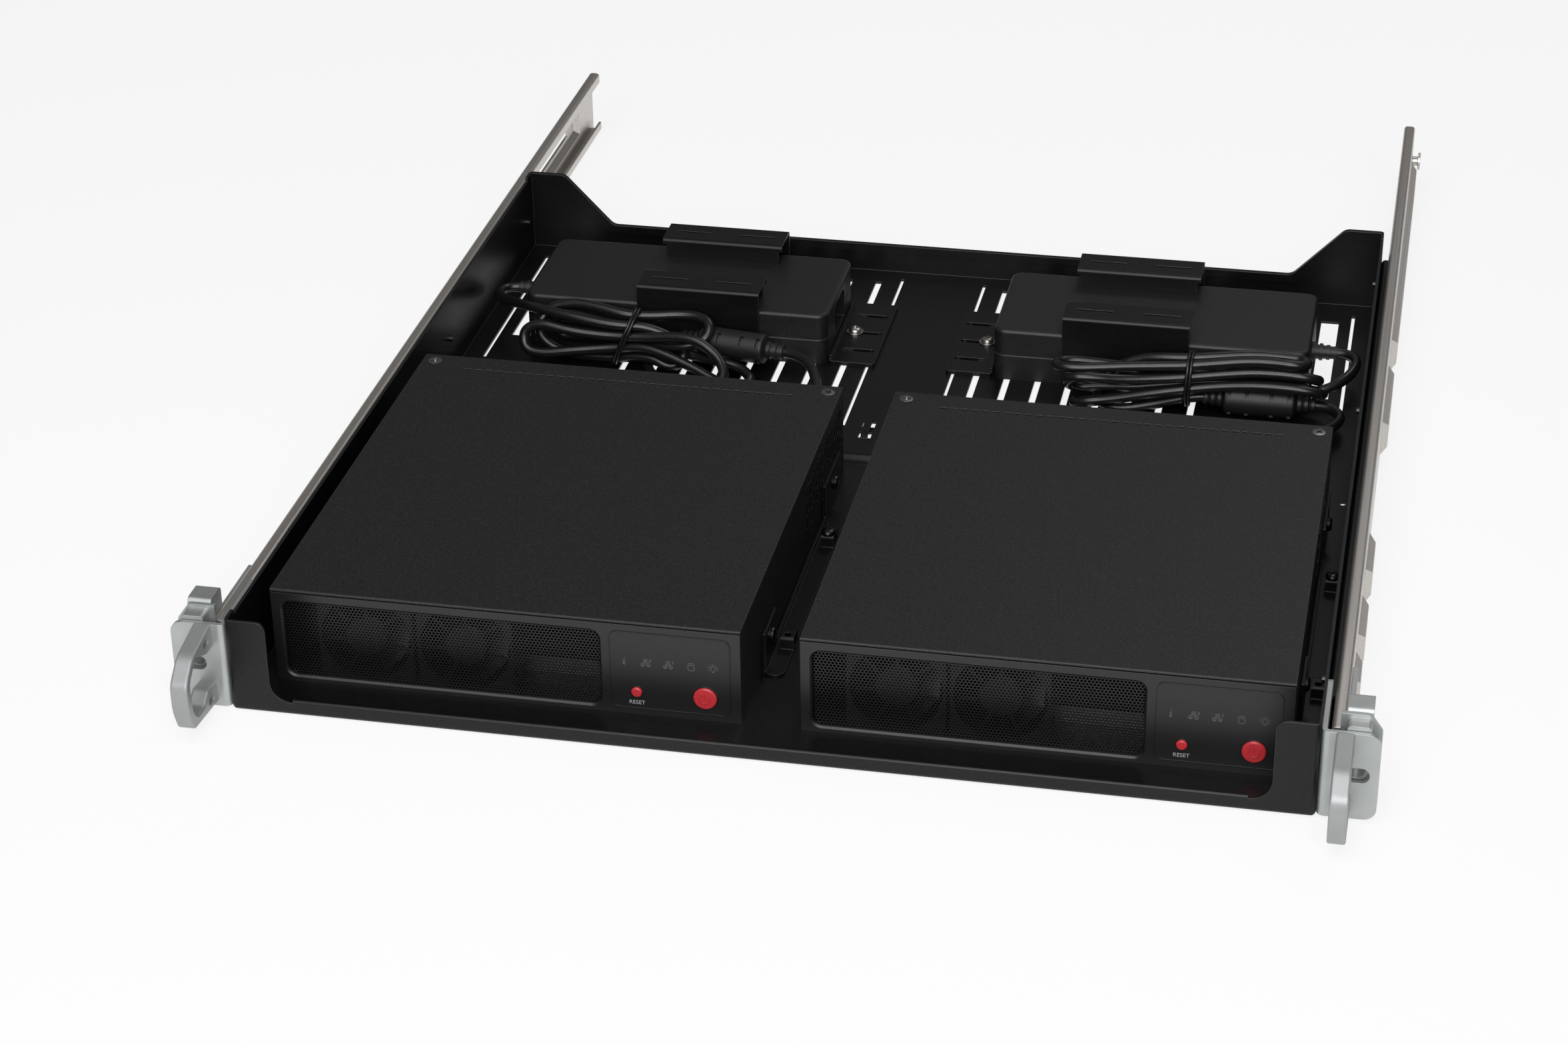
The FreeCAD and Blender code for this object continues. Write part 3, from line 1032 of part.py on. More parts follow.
def ac_inlet():
    """Mains inlet: a six-sided well with three flat pins set back from its mouth."""
    deep, tall = INLET_SIZE
    start = ADAPTER_X[0]
    body = box((start, start + INLET_DEPTH), (ADAPTER_MIDDLE - deep / 2, ADAPTER_MIDDLE + deep / 2),
               (ADAPTER_SPLIT - tall / 2, ADAPTER_SPLIT + tall / 2))
    wide, high = INLET_MOUTH
    left = ADAPTER_MIDDLE - wide / 2
    right = ADAPTER_MIDDLE + wide / 2
    low = ADAPTER_SPLIT - high / 2
    top = ADAPTER_SPLIT + high / 2
    well = [(left, low, 0.6), (right, low, 0.6), (right, top - INLET_CHAMFER, 0.6),
            (right - INLET_CHAMFER, top, 0.6), (left + INLET_CHAMFER, top, 0.6),
            (left, top - INLET_CHAMFER, 0.6)]
    body = body.cut(plate(well, on_yz(start - 1), (INLET_CAVITY + 1, 0, 0)))
    pins = []
    height, thick = INLET_PIN
    end = start + INLET_CAVITY
    rise = INLET_PIN_RISE
    for across, up in ((-INLET_PIN_PITCH, -rise), (0, rise), (INLET_PIN_PITCH, -rise)):
        y = ADAPTER_MIDDLE + across
        z = ADAPTER_SPLIT + up
        pin_z = (z - height / 2, z + height / 2)
        pins.append(box((end - INLET_PIN_LENGTH, end), (y - thick / 2, y + thick / 2), pin_z))
    return body.fuse(pins).removeSplitter()


def adapter_clip():
    """Sheet clip over an adapter's front edge: tall leg, slotted top plate and short hold-down flange."""
    leg = ADAPTER_Y[0] - CLIP_GAP - SHEET / 2
    flange = leg + CLIP_DEPTH - SHEET
    high = CLIP_TOP - SHEET / 2
    section = strip([(leg, FLOOR), (leg, high), (flange, high), (flange, ADAPTER_TOP)], SHEET, 0.6)
    body = plate(section, on_yz(CLIP_X[0]), (CLIP_X[1] - CLIP_X[0], 0, 0))
    low = ADAPTER_TOP - 1
    under = CLIP_TOP - 3
    notch = (flange - 2, flange + 2)
    cutters = [box((CLIP_X[0] - 1, CLIP_X[0] + CLIP_FLANGE_INSET), notch, (low, under)),
               box((CLIP_X[1] - CLIP_FLANGE_INSET, CLIP_X[1] + 1), notch, (low, under))]
    middle_y = (leg + flange) / 2
    for side in (-1, 1):
        x = sum(CLIP_X) / 2 + side * CLIP_SLOT_OFFSET
        long, wide = CLIP_SLOT
        cutters.append(box((x - long / 2, x + long / 2), (middle_y - wide / 2, middle_y + wide / 2),
                           (under, CLIP_TOP + 1)))
    tabs = [box(x, (leg - SHEET / 2, leg + SHEET / 2), (0.1, FLOOR)) for x in clip_tabs(0)]
    return body.cut(cutters).fuse(tabs).removeSplitter()


def clip_tabs(fit):
    """Limits along x of the two tabs under a clip's leg, widened by a clearance."""
    reach = CLIP_TAB_WIDTH / 2 + fit
    middle = sum(CLIP_X) / 2
    centres = (middle - CLIP_TAB_OFFSET, middle + CLIP_TAB_OFFSET)
    return [(x - reach, x + reach) for x in centres]


def turned_clip(clip):
    """The same clip turned round to hold the adapter's rear edge."""
    other = clip.copy()
    front = ADAPTER_Y[0] - CLIP_GAP - SHEET
    middle_x = sum(CLIP_X) / 2
    other.rotate(Vector(middle_x, (front + CLIP_REAR) / 2, 0), Vector(0, 0, 1), 180)
    return other


def end_stop():
    """Slotted floor plate with a low flange against the adapter's inlet end."""
    top = FLOOR + STOP_SHEET
    body = plate(rectangle(STOP_X, STOP_Y, STOP_ROUND), on_xy(FLOOR), (0, 0, STOP_SHEET))
    flange_y = (STOP_Y[0] + 2, STOP_Y[1] - 2)
    body = body.fuse(box((STOP_X[1] - SHEET, STOP_X[1]), flange_y, (top - 0.5, STOP_FLANGE)))
    cutters = []
    half = STOP_SLOT_WIDTH / 2
    for y in STOP_SLOT_Y:
        slot = rectangle(STOP_SLOT_X, (y - half, y + half), half)
        cutters.append(plate(slot, on_xy(FLOOR - 1), (0, 0, STOP_SHEET + 2)))
    return body.removeSplitter().cut(cutters)


def strain_relief(start, way):
    """Ribbed sleeve where a lead leaves its adapter."""
    first = Vector(*start)
    along = Vector(*way)
    wide, narrow = RELIEF_RADII
    body = Part.makeCone(wide - 0.9, narrow - 0.3, RELIEF_LENGTH, first, along)
    ribs = []
    for i in range(RELIEF_RIBS):
        radius = wide + (narrow - wide) * i / (RELIEF_RIBS - 1)
        ribs.append(Part.makeCylinder(radius, RELIEF_RIB, first + along * (RELIEF_PITCH * i), along))
    return body.fuse(ribs).removeSplitter()


def ferrite(start, way):
    """Moulded noise filter on a lead, with a short sleeve at each end."""
    first = Vector(*start)
    along = Vector(*way)
    body = Part.makeCylinder(FERRITE_RADIUS, FERRITE_LENGTH, first, along)
    rims = [edge for edge in body.Edges if edge.Curve.TypeId == "Part::GeomCircle"]
    body = body.makeChamfer(FERRITE_EDGE, rims)
    tip, root = (CORD_RADIUS + wall for wall in SLEEVE_WALLS)
    tail = Part.makeCone(root, tip, SLEEVE_LENGTH, first + along * FERRITE_LENGTH, along)
    nose = Part.makeCone(tip, root, SLEEVE_LENGTH, first - along * SLEEVE_LENGTH, along)
    return body.fuse([tail, nose])


def dc_plug():
    """Barrel plug in a server's power jack, with a tapered tail."""
    y = SERVER_DEPTH + PLUG_GAP
    end = y + PLUG_LENGTH
    body = rod((JACK_X, y, JACK_Z), (JACK_X, end, JACK_Z), PLUG_RADIUS)
    tail = taper((JACK_X, end, JACK_Z), (JACK_X, end + PLUG_TAIL, JACK_Z), *PLUG_TAIL_RADII)
    barrel = rod((JACK_X, y - PLUG_BARREL_LENGTH, JACK_Z), (JACK_X, y, JACK_Z), PLUG_BARREL)
    return body.fuse([tail, barrel])


def cord(name, points):
    """Round lead through points: straight runs joined by tangent arcs."""
    vectors = [Vector(*point) for point in points]
    edges = []
    radii = []
    here = vectors[0]
    for before, corner, after in zip(vectors, vectors[1:], vectors[2:]):
        back = (before - corner).normalize()
        ahead = (after - corner).normalize()
        half_turn = (math.pi - back.getAngle(ahead)) / 2
        if half_turn < 1e-4:
            continue
        reach = 0.45 * min((before - corner).Length, (after - corner).Length)
        radius = reach / math.tan(half_turn)
        radii.append(round(radius, 1))
        middle = corner + (back + ahead).normalize() * (radius / math.cos(half_turn) - radius)
        start = corner + back * reach
        end = corner + ahead * reach
        edges.append(Part.LineSegment(here, start).toShape())
        edges.append(Part.Arc(start, middle, end).toShape())
        here = end
    edges.append(Part.LineSegment(here, vectors[-1]).toShape())
    path = Part.Wire(edges)
    profile = Part.Wire(Part.makeCircle(CORD_RADIUS, vectors[0], vectors[1] - vectors[0]))
    tube = path.makePipeShell([profile], True, False)
    expected = math.pi * CORD_RADIUS ** 2 * path.Length
    print(name, "radii", radii, "volume ratio", round(tube.Volume / expected, 4))
    return tube


def hank(stations):
    """Outer shape of a bundle of turns: a ruled loft through rounded sections along x."""
    wires = []
    for x, y, z in stations:
        radius = min(HANK_ROUND, 0.45 * min(y[1] - y[0], z[1] - z[0]))
        wires.append(outline(rectangle(y, z, radius), on_yz(x)))
    return Part.makeLoft(wires, True, True)


def cord_tie(bundle, x, y, z):
    """Band round the waist of a bundle."""
    wide = (y[0] - TIE_THICK, y[1] + TIE_THICK)
    high = (z[0] - TIE_THICK, z[1] + TIE_THICK)
    band = plate(rectangle(wide, high, HANK_ROUND), on_yz(x - TIE_WIDTH / 2), (TIE_WIDTH, 0, 0))
    return band.cut(bundle)


def add_slides():
    """Tray, slides, ears, handles and their screws."""
    add("tray", tray())
    add_pair("inner_rail", inner_rail())
    add_pair("outer_rail", outer_rail())
    add_pair("rack_bracket", rack_bracket())
    add_pair("ear", ear())
    add_pair("handle", handle())
    middle = sum(HANDLE_X) / 2
    for z in HANDLE_SCREW_Z:
        screw = sunk_screw((middle, EAR_SHEET, z), (0, -1, 0), HANDLE_SCREW_LENGTH)
        add("handle_screws", screw, mirrored(screw))
    for y in RAIL_SCREW_Y:
        screw = pan_screw((HALF_WIDTH + SHEET, y, RAIL_SCREW_Z), (-1, 0, 0), RAIL_SCREW_LENGTH)
        add("rail_screws", screw, mirrored(screw))


def add_servers():
    """Both servers with what is inside them and what ties them to the tray."""
    for side, left in SERVER_LEFTS.items():
        pieces = {"chassis": chassis(), "cover": cover(), "front_panel": front_panel(), "grille": grille(),
                  "control_plate": control_plate(), "power_button": button(POWER_X, POWER_RADIUS),
                  "reset_button": button(RESET_X, RESET_RADIUS), "fan_rotor_a": fan_rotor(FAN_X[0]),
                  "fan_rotor_b": fan_rotor(FAN_X[1]), "motherboard": motherboard(), "heatsink": heatsink(),
                  "drive": drive()}
        for name, shape in pieces.items():
            add(name + "_" + side, moved(shape, left, SERVER_FRONT, FLOOR))
        for x in FAN_X:
            add("fan_frames_" + side, moved(fan_frame(x), left, SERVER_FRONT, FLOOR))
        for x in (COVER_SCREW, SERVER_WIDTH - COVER_SCREW):
            head = (x, SERVER_DEPTH - COVER_SCREW, SERVER_HEIGHT)
            screw = sunk_screw(head, (0, 0, -1), COVER_SCREW_LENGTH)
            add("cover_screws", moved(screw, left, SERVER_FRONT, FLOOR))
        for y, z in SIDE_SCREW:
            screw = pan_screw((SERVER_WIDTH + FOOT_X[0] + SHEET, y, z), (-1, 0, 0), SIDE_SCREW_LENGTH)
            add("side_screws", moved(screw, left, SERVER_FRONT, FLOOR))
        bracket = moved(server_bracket(), left + SERVER_WIDTH, SERVER_FRONT, FLOOR)
        add("server_bracket_" + side, bracket)
        add("dc_plugs", moved(dc_plug(), left, SERVER_FRONT, FLOOR))


def add_power():
    """Adapters, clips, end stops and floor screws."""
    add_pair("adapter_base", adapter_half(FLOOR, ADAPTER_SPLIT))
    add_pair("adapter_lid", adapter_half(ADAPTER_SPLIT, ADAPTER_TOP))
    add_pair("ac_inlet", ac_inlet())
    clip = adapter_clip()
    rear_clip = turned_clip(clip)
    add("adapter_clips", clip, rear_clip, mirrored(clip), mirrored(rear_clip))
    stop = end_stop()
    add("end_stops", stop, mirrored(stop))
    for x, y, seat in server_screw_places():
        add("floor_screws", pan_screw((x, y, seat), (0, 0, -1), seat - FLOOR_SCREW_RAISE))
    for x, y, seat in stop_screw_places():
        screw = pan_screw((x, y, seat), (0, 0, -1), seat - FLOOR_SCREW_RAISE)
        washer = rod((x, y, seat - WASHER_SHEET), (x, y, seat), WASHER_RADIUS)
        add("floor_screws", screw.fuse(washer).removeSplitter())


def left_lead(start, end):
    """Chosen places of the left lead: bundle sections, tie, noise filter and open runs."""
    sections = [(-188.5, (329, 335), (9, 16)), (-182, (325.5, 342), (5.5, 25)),
                (-166, (325.5, 347), (3.2, 29)), (-150, (327, 345), (3.2, 29)),
                (-137, (328, 342.5), (3.5, 28.5)), (-125, (322, 345.5), (2.5, 28.5)),
                (-113, (312, 345), (2, 28)), (-109.5, (309, 334.2), (2, 27)),
                (-96, (305.5, 333.5), (2, 24)), (-82, (309, 331), (2, 14)), (-69.5, (317, 325), (2.6, 8.5))]
    tie = (-137, (328, 342.5), (3.5, 28.5))
    choke = (-100, 341, 14.5)
    nose = (choke[0] - SLEEVE_LENGTH, 341, 14.5)
    tail = (choke[0] + FERRITE_LENGTH + SLEEVE_LENGTH, 341, 14.5)
    runs = [[start, (-209.7, 383.2, 14.4), (-213.6, 375.5, 14.8), (-210, 367.3, 15.6), (-201.9, 360.4, 17.9),
             (-191.9, 350, 21.7), (-180.5, 339.3, 24)],
            [(-128, 333, 13.2), (-119.5, 338, 14), nose],
            [tail, (-49, 340.6, 14.5), (-41.5, 336.2, 14.4), (-36.6, 328.2, 14.1), (-34.4, 317.5, 13.6),
             (-33.3, 304, 12.9), (-33.1, 290, 12.2), end]]
    return sections, tie, choke, runs


def right_lead(start, end):
    """Chosen places of the right lead: bundle sections, tie, noise filter and open runs."""
    sections = [(71, (328, 335), (19.5, 24)), (80, (317, 341), (3, 26)), (92, (314.5, 341.5), (2, 26.5)),
                (108, (319, 345.5), (2.6, 27)), (122, (323, 344), (3.5, 27.5)),
                (135.5, (326.5, 344), (4, 28.5)), (141.5, (327, 345), (4, 29)),
                (143.8, (327.5, 345.5), (15.2, 29.2)), (165, (328, 349), (15.2, 31)),
                (180, (327, 349.6), (15.2, 31)), (190, (327.5, 349.6), (15.2, 29.5)),
                (200, (334, 344), (15.2, 20))]
    tie = (135.5, (326.5, 344), (4, 28.5))
    choke = (153, 334.5, 8)
    nose = (choke[0] - SLEEVE_LENGTH, 334.5, 8)
    tail = (choke[0] + FERRITE_LENGTH + SLEEVE_LENGTH, 334.5, 8)
    runs = [[start, (210, 379.4, 14.4), (213.8, 372, 15), (212.4, 363.4, 14.4), (207.5, 356.2, 12.4),
             (199.6, 350.1, 9.4), (187.3, 347.1, 7.5), (173, 345.9, 7.1), (158.6, 344.8, 7.5),
             (146.1, 342.2, 8.2), (136, 339.4, 8.4)],
            [(126, 331, 8.6), (135, 334, 8.1), nose],
            [tail, (202.6, 331.8, 8.1), (208.4, 324.6, 8.4), (208.6, 315.4, 9), (203.8, 306.6, 9.8),
             (196.6, 299.4, 10.8), (190.4, 291.2, 11.6), (187.2, 283.6, 12), end]]
    return sections, tie, choke, runs


def add_leads():
    """Strain reliefs, leads, hanks, ties and noise filters, drawn for one adapter corner and moved to it."""
    for side, sign, route in (("left", -1, left_lead), ("right", 1, right_lead)):
        exit_y = ADAPTER_MIDDLE + RELIEF_SHIFT[side]
        add("strain_reliefs", strain_relief((sign * ADAPTER_X[1], exit_y, ADAPTER_SPLIT), (sign, 0, 0)))
        across = sign * (ADAPTER_X[1] - LEADS_DRAWN_AT[0])
        back = ADAPTER_Y[0] - LEADS_DRAWN_AT[1]
        start = (sign * (LEADS_DRAWN_AT[0] + RELIEF_LENGTH), exit_y - back, ADAPTER_SPLIT)
        plug_y = SERVER_REAR + PLUG_GAP + PLUG_LENGTH + PLUG_TAIL
        end = (SERVER_LEFTS[side] + JACK_X - across, plug_y - back, FLOOR + JACK_Z)
        sections, tie, choke, runs = route(start, end)
        bundle = hank(sections)
        add("hank_" + side, moved(bundle, across, back, 0))
        add("cord_ties", moved(cord_tie(bundle, *tie), across, back, 0))
        add("ferrites", moved(ferrite(choke, (1, 0, 0)), across, back, 0))
        for run in runs:
            add("cord_" + side, moved(cord("lead " + side, run), across, back, 0))


def save():
    """Shift every part so that the origin is the middle of the footprint, and write one file per node."""
    os.makedirs("parts", exist_ok=True)
    for name, solids in parts.items():
        shape = solids[0] if len(solids) == 1 else Part.makeCompound(solids)
        moved(shape, 0, -CENTRE_Y, 0).exportStep("parts/" + name + ".step")
    print(len(parts), "nodes, centre shift", CENTRE_Y)


add_slides()
add_servers()
add_power()
add_leads()
save()
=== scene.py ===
"""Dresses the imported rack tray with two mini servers: leads, grilles, prints, screws, finishes and studio."""
import math

import bmesh
import bpy
from bpy.props import FloatProperty, FloatVectorProperty, IntProperty, PointerProperty
from mathutils import Matrix, Vector


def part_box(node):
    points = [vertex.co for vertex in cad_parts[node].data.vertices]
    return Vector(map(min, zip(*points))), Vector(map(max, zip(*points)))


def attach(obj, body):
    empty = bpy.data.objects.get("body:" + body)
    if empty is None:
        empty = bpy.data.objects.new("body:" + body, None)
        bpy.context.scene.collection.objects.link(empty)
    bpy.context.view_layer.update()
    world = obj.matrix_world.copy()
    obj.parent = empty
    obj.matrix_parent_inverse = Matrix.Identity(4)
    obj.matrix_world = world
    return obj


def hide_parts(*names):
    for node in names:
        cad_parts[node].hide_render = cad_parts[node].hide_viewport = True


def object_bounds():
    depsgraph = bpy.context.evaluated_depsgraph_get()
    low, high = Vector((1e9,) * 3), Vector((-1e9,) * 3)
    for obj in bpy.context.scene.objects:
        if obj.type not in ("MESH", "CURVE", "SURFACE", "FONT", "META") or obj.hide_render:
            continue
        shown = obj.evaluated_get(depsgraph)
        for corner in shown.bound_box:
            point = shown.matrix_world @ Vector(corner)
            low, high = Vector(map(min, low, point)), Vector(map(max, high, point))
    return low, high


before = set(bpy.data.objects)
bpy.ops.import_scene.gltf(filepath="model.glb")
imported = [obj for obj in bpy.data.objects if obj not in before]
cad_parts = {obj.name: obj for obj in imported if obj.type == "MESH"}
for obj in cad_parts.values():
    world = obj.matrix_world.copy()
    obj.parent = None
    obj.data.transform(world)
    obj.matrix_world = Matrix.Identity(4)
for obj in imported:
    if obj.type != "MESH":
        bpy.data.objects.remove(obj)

bl_info = {
    "name": "Rack tray with two mini servers",
    "version": (1, 0, 0),
    "blender": (4, 5, 0),
    "location": "View3D > Sidebar > Rack tray",
    "description": "Builds the leads, grilles, prints, screws and finishes of a sliding server tray",
    "category": "Object",
}

CAD_BOX = [list(corner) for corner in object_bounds()]
MM = 0.001
SIDES = ("left", "right")
TRAY_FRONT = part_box("tray")[0].y

# Control points of each adapter lead in millimetres, from the strain relief, through the tied turns
# and the noise filter, to the plug in the server's rear. The y values count from the tray's front face.
LEAD_LEFT = (
    (-200, 385, 14.2), (-206, 385, 14.2), (-211.2, 380.1, 14.5), (-210.3, 370.6, 15.5),
    (-202.3, 361.2, 17.7), (-191.9, 350, 21.7), (-180.5, 339.3, 25.3), (-165.9, 334.6, 25.3),
    (-150.8, 332.2, 23.9), (-137.7, 331.9, 23.1), (-126.4, 334, 22.4), (-116.1, 335.4, 18.7),
    (-107.4, 334.6, 14.3), (-106.2, 328.9, 8.8), (-112.4, 325.9, 5.3), (-120.3, 327.7, 8.7),
    (-129, 329.6, 8.6), (-138, 330.8, 6.6), (-149.3, 331.7, 5.7), (-161.4, 333.1, 5.3),
    (-171.9, 334.7, 6.8), (-179.4, 337, 11.5), (-181, 340.8, 17.4), (-176, 344.8, 24.2),
    (-164.5, 345, 27.3), (-151, 342.4, 27), (-137.3, 339.2, 25.4), (-124.1, 341.2, 25),
    (-111.6, 343.7, 25.7), (-100.7, 342.8, 26), (-94.1, 337.2, 24.3), (-95.9, 331.4, 18.9),
    (-105.8, 328.2, 16), (-116.8, 331.3, 14.2), (-127.3, 334.7, 13), (-137.5, 337.1, 13.4),
    (-149, 339.5, 12.3), (-160.4, 341.9, 10.5), (-170, 343.6, 9.5), (-174.8, 343.2, 15.5),
    (-171.8, 341, 22.4), (-163.1, 340.4, 23.1), (-150.1, 339.3, 21.3), (-137.2, 337.7, 19.5),
    (-124.8, 338, 17.4), (-113.2, 337.4, 10.5), (-100.8, 334.6, 7.7), (-88.9, 330.4, 8.8),
    (-77.4, 328.4, 7.3), (-70.8, 321.1, 4.8), (-76.7, 313, 3.4), (-87.9, 317.1, 4.9),
    (-100.2, 321.8, 8.8), (-113, 325.3, 12.3), (-125.2, 328.4, 14.2), (-137.3, 330.1, 12.4),
    (-150.2, 329.4, 10.8), (-163.7, 327.9, 9.4), (-176, 327, 7.4), (-185.1, 328.2, 8.2),
    (-186.8, 332.2, 16.5), (-178.7, 332.8, 21), (-165.6, 330.8, 19.2), (-151.2, 330.7, 18),
    (-137.2, 330.9, 17.8), (-123.3, 329.8, 18.9), (-109.8, 328.3, 21.5), (-97.4, 325.8, 21.2),
    (-87.4, 322.2, 14.9), (-82.8, 315, 9.9), (-86, 308.6, 5.9), (-96.8, 306.8, 4.3), (-109.9, 311.2, 4),
    (-120.2, 320.2, 4), (-125.3, 331.2, 3.5), (-124.2, 339.7, 6.5), (-118.1, 343.5, 11.5),
    (-111, 342.8, 14.5), (-103, 341.5, 14.5), (-64.5, 335.4, 14.5), (-58, 334.4, 14.5), (-52, 332.2, 14.5),
    (-46.6, 328.2, 14.4), (-42.3, 322, 14.1), (-38.9, 313.6, 13.6), (-36, 303, 12.9), (-33.9, 292, 12.3),
    (-33.1, 283, 12), (-33.1, 274, 12),
)
LEAD_RIGHT = (
    (200, 381, 14.2), (206, 381, 14.2), (211.7, 376.1, 14.3), (212.1, 366.8, 14), (208, 357.1, 12.2),
    (199.6, 350.1, 9.4), (187.3, 347.1, 7.5), (173, 345.9, 7.1), (158.6, 344.8, 7.5),
    (146.1, 342.2, 8.2), (134.8, 339.1, 8.4), (121.8, 337.6, 7.6), (108.1, 336.4, 5.7),
    (94.9, 334.3, 3.5), (85.1, 328.4, 4.1), (82.8, 319.9, 7.5), (90.8, 315.9, 10.7),
    (103.8, 320.2, 11.3), (119.2, 326.2, 12.3), (135.1, 330.3, 13.7), (150.2, 331.2, 16),
    (165.6, 330.5, 18.1), (180.1, 329.7, 18.8), (192.1, 329.5, 18.1), (199.5, 334.2, 14.6),
    (197, 342.4, 11.9), (185.4, 344.2, 12.4), (169.4, 343.8, 13), (151.7, 341.3, 14),
    (136.1, 338.2, 13.8), (122.1, 335.7, 12.6), (108.4, 332.6, 11.7), (95.8, 328.9, 13.1),
    (85.5, 328.7, 11.4), (79.2, 324.4, 15), (82.5, 318.7, 21.4), (92.3, 319.5, 21.4),
    (105.5, 324.4, 19.2), (120.2, 329, 18.6), (135.5, 332.1, 19.1), (150.8, 334.1, 20.9),
    (165.6, 335.5, 22.5), (179.3, 335.4, 22.9), (190.9, 334.5, 22.6), (197.5, 340, 18.6),
    (192.8, 348, 15.6), (179.4, 346.6, 17.3), (164.2, 344.2, 18.4), (149.4, 341, 19.2),
    (135.3, 338.9, 19.5), (120.9, 338.1, 19.6), (106.3, 337.3, 20), (92.6, 338.2, 20.2),
    (80.8, 339.1, 20.2), (73.3, 335.1, 20.9), (74.4, 326.5, 22.6), (82.7, 324.5, 23.2),
    (93.8, 326.7, 23.4), (107.2, 329.4, 23.8), (121.1, 331.8, 24), (135.3, 333.6, 24.5),
    (149, 335.3, 26), (162.6, 336.6, 27.6), (175.2, 336.3, 28.2), (185.5, 334.7, 28.2),
    (191.5, 340.4, 26.3), (187.8, 348.6, 24.8), (176.7, 347.8, 26), (163, 346, 26.6), (149.1, 342.8, 26),
    (135.6, 340.2, 25.2), (122.5, 340.7, 24.4), (110.6, 342.8, 21.8), (100.4, 342.3, 16.7),
    (94.2, 337.1, 11.5), (93.4, 329.4, 7.1), (98.7, 323.1, 5.1), (108.5, 322.6, 5.2),
    (119.8, 326.3, 6.5), (130.7, 331, 7.7), (141, 334.5, 8.7), (149, 334.5, 8.7), (190, 334.5, 8.7),
    (197, 334.5, 8.7), (204.3, 331.6, 8.5), (208.3, 323.9, 8.6), (205.4, 313.2, 9.1), (198.2, 302.7, 10.2),
    (191.2, 294.1, 11.2), (187.2, 287, 11.8), (186.1, 280, 12), (186.1, 274, 12),
)

# Girth of each tied bundle as (y, z) in millimetres
TIE_LEFT = ((331, 2.8), (327.6, 4.5), (326.6, 9), (326.4, 15), (327.6, 21), (330, 26), (336, 28.6), (340.4, 29),
            (343, 26.6), (342.2, 20), (340.8, 13), (338, 8), (334.5, 3.8))
TIE_RIGHT = ((335.7, 4.4), (331, 4.8), (328.4, 7.4), (326.8, 13), (328.4, 19.4), (330.2, 25), (333.6, 28),
             (337.4, 28.6), (341.2, 28.5), (344, 25.6), (342.9, 19), (342.2, 13), (342.9, 8), (340.4, 4.9))

# Each tie's side, girth, x of its foot in millimetres, and lean along x per millimetre of height
TIES = (("left", TIE_LEFT, -143.0, 0.42), ("right", TIE_RIGHT, 135.4, 0.03))

# Noise filter in millimetres along its length: the first rib of a sleeve, the body, and the rings of windows
FILTER_LENGTH = 33
FILTER_RIB = ((-9.6, 3.0), (-9.3, 3.5), (-7.7, 3.6), (-7.4, 3.0))
FILTER_BODY = [(-0.1, 5.0), (0.0, 6.2), (0.4, 6.9), (1.0, 7.2), (1.6, 7.25), (3.4, 7.25), (9.8, 7.3), (11.6, 7.3),
               (16.5, 7.3), (21.4, 7.3), (23.2, 7.3), (29.6, 7.25), (31.4, 7.25), (32.0, 7.2), (32.6, 6.9),
               (33.0, 6.2), (33.1, 5.0)]
FILTER_WINDOWS = ((1.6, 3.4), (9.8, 11.6), (21.4, 23.2), (29.6, 31.4))
FILTER_WINDOW_DEPTH = 1.2

# Each noise filter's side, start in millimetres, and turn in degrees
FILTER_PLACES = (("left", (-100, 341, 14.5), -9), ("right", (153, 334.5, 8.7), 0))

# Grilles and side vents in millimetres: sheets, and the vents' field and middle from the case's rear and floor
GRILLE_SHEET = 0.6
VENT_FIELD = (80, 27)
VENT_SHEET = 0.3
VENT_MIDDLE = (45.5, 24.5)

# Forms of the tray's floor in millimetres, with lags counted from the servers' rear
FLOOR_SHEET = 1.2
RIDGE_LAG = 14.4
RIDGE_HALF = 7.0
RIDGE_HEIGHT = 3.0
RIDGE_END = 16
BRIDGE_LAG = 33.6
BRIDGE_LENGTH = 19.2
BRIDGE_HEIGHT = 2.4
BRIDGE_X = (-10.7, -7.3)

# Prints in millimetres, with x counted from the server's left side and heights from the floor
INFO_PLACE = 147.3
LAMP_PLACES = (156.1, 165.4, 174.8, 183.8)
LAMP_HEIGHT = 26.0
WORD_PLACE = (152.1, 6.3)
PLATE_ROUND = 3
BUTTON_FLANGE = 1.4
SHARPEST_MITRE = 0.4

# Screws as (height, radius) pairs in millimetres, and the recess's span, slit and depth
FLAT_HEAD = [(-4, 1.5), (-1.6, 1.5), (-0.35, 2.9), (-0.1, 3.15), (0.02, 3.05), (0.12, 2.6)]
PAN_HEAD = [(-4, 1.5), (0, 1.5), (0.05, 3.0), (0.8, 3.1), (1.4, 2.85), (1.8, 2.3), (2.0, 1.6)]
WASHER = [(-0.8, 1.7), (-0.78, 4.15), (-0.7, 4.25), (-0.1, 4.25), (0, 4.15)]
RECESS = (3.6, 0.75, 1.8)
PAN_RISE = 2.0 * MM
WASHER_FROM = 8 * MM

# Studio: half the floor's width in metres, and how much white the floor and the surround show in reflections
FLOOR_REACH = 12.0
FLOOR_GLOW = 0.82
REFLECTED_WHITE = 0.06

# Camera fitted to the photograph: picture size, focal length and lens axis in pixels, sensor in millimetres,
# turns in degrees, and place in millimetres
PICTURE = (2353, 1568)
SENSOR = 36.0
FOCAL_PIXELS = 5124.49
LENS_AXIS = (1227.74, 841.61)
CAMERA_ANGLES = (11.324, 29.450, -0.506)
CAMERA_PLACE = (246.75, -1109.1, 732.49)

# Finishes and pieces by name, for the steps that follow
made = {}


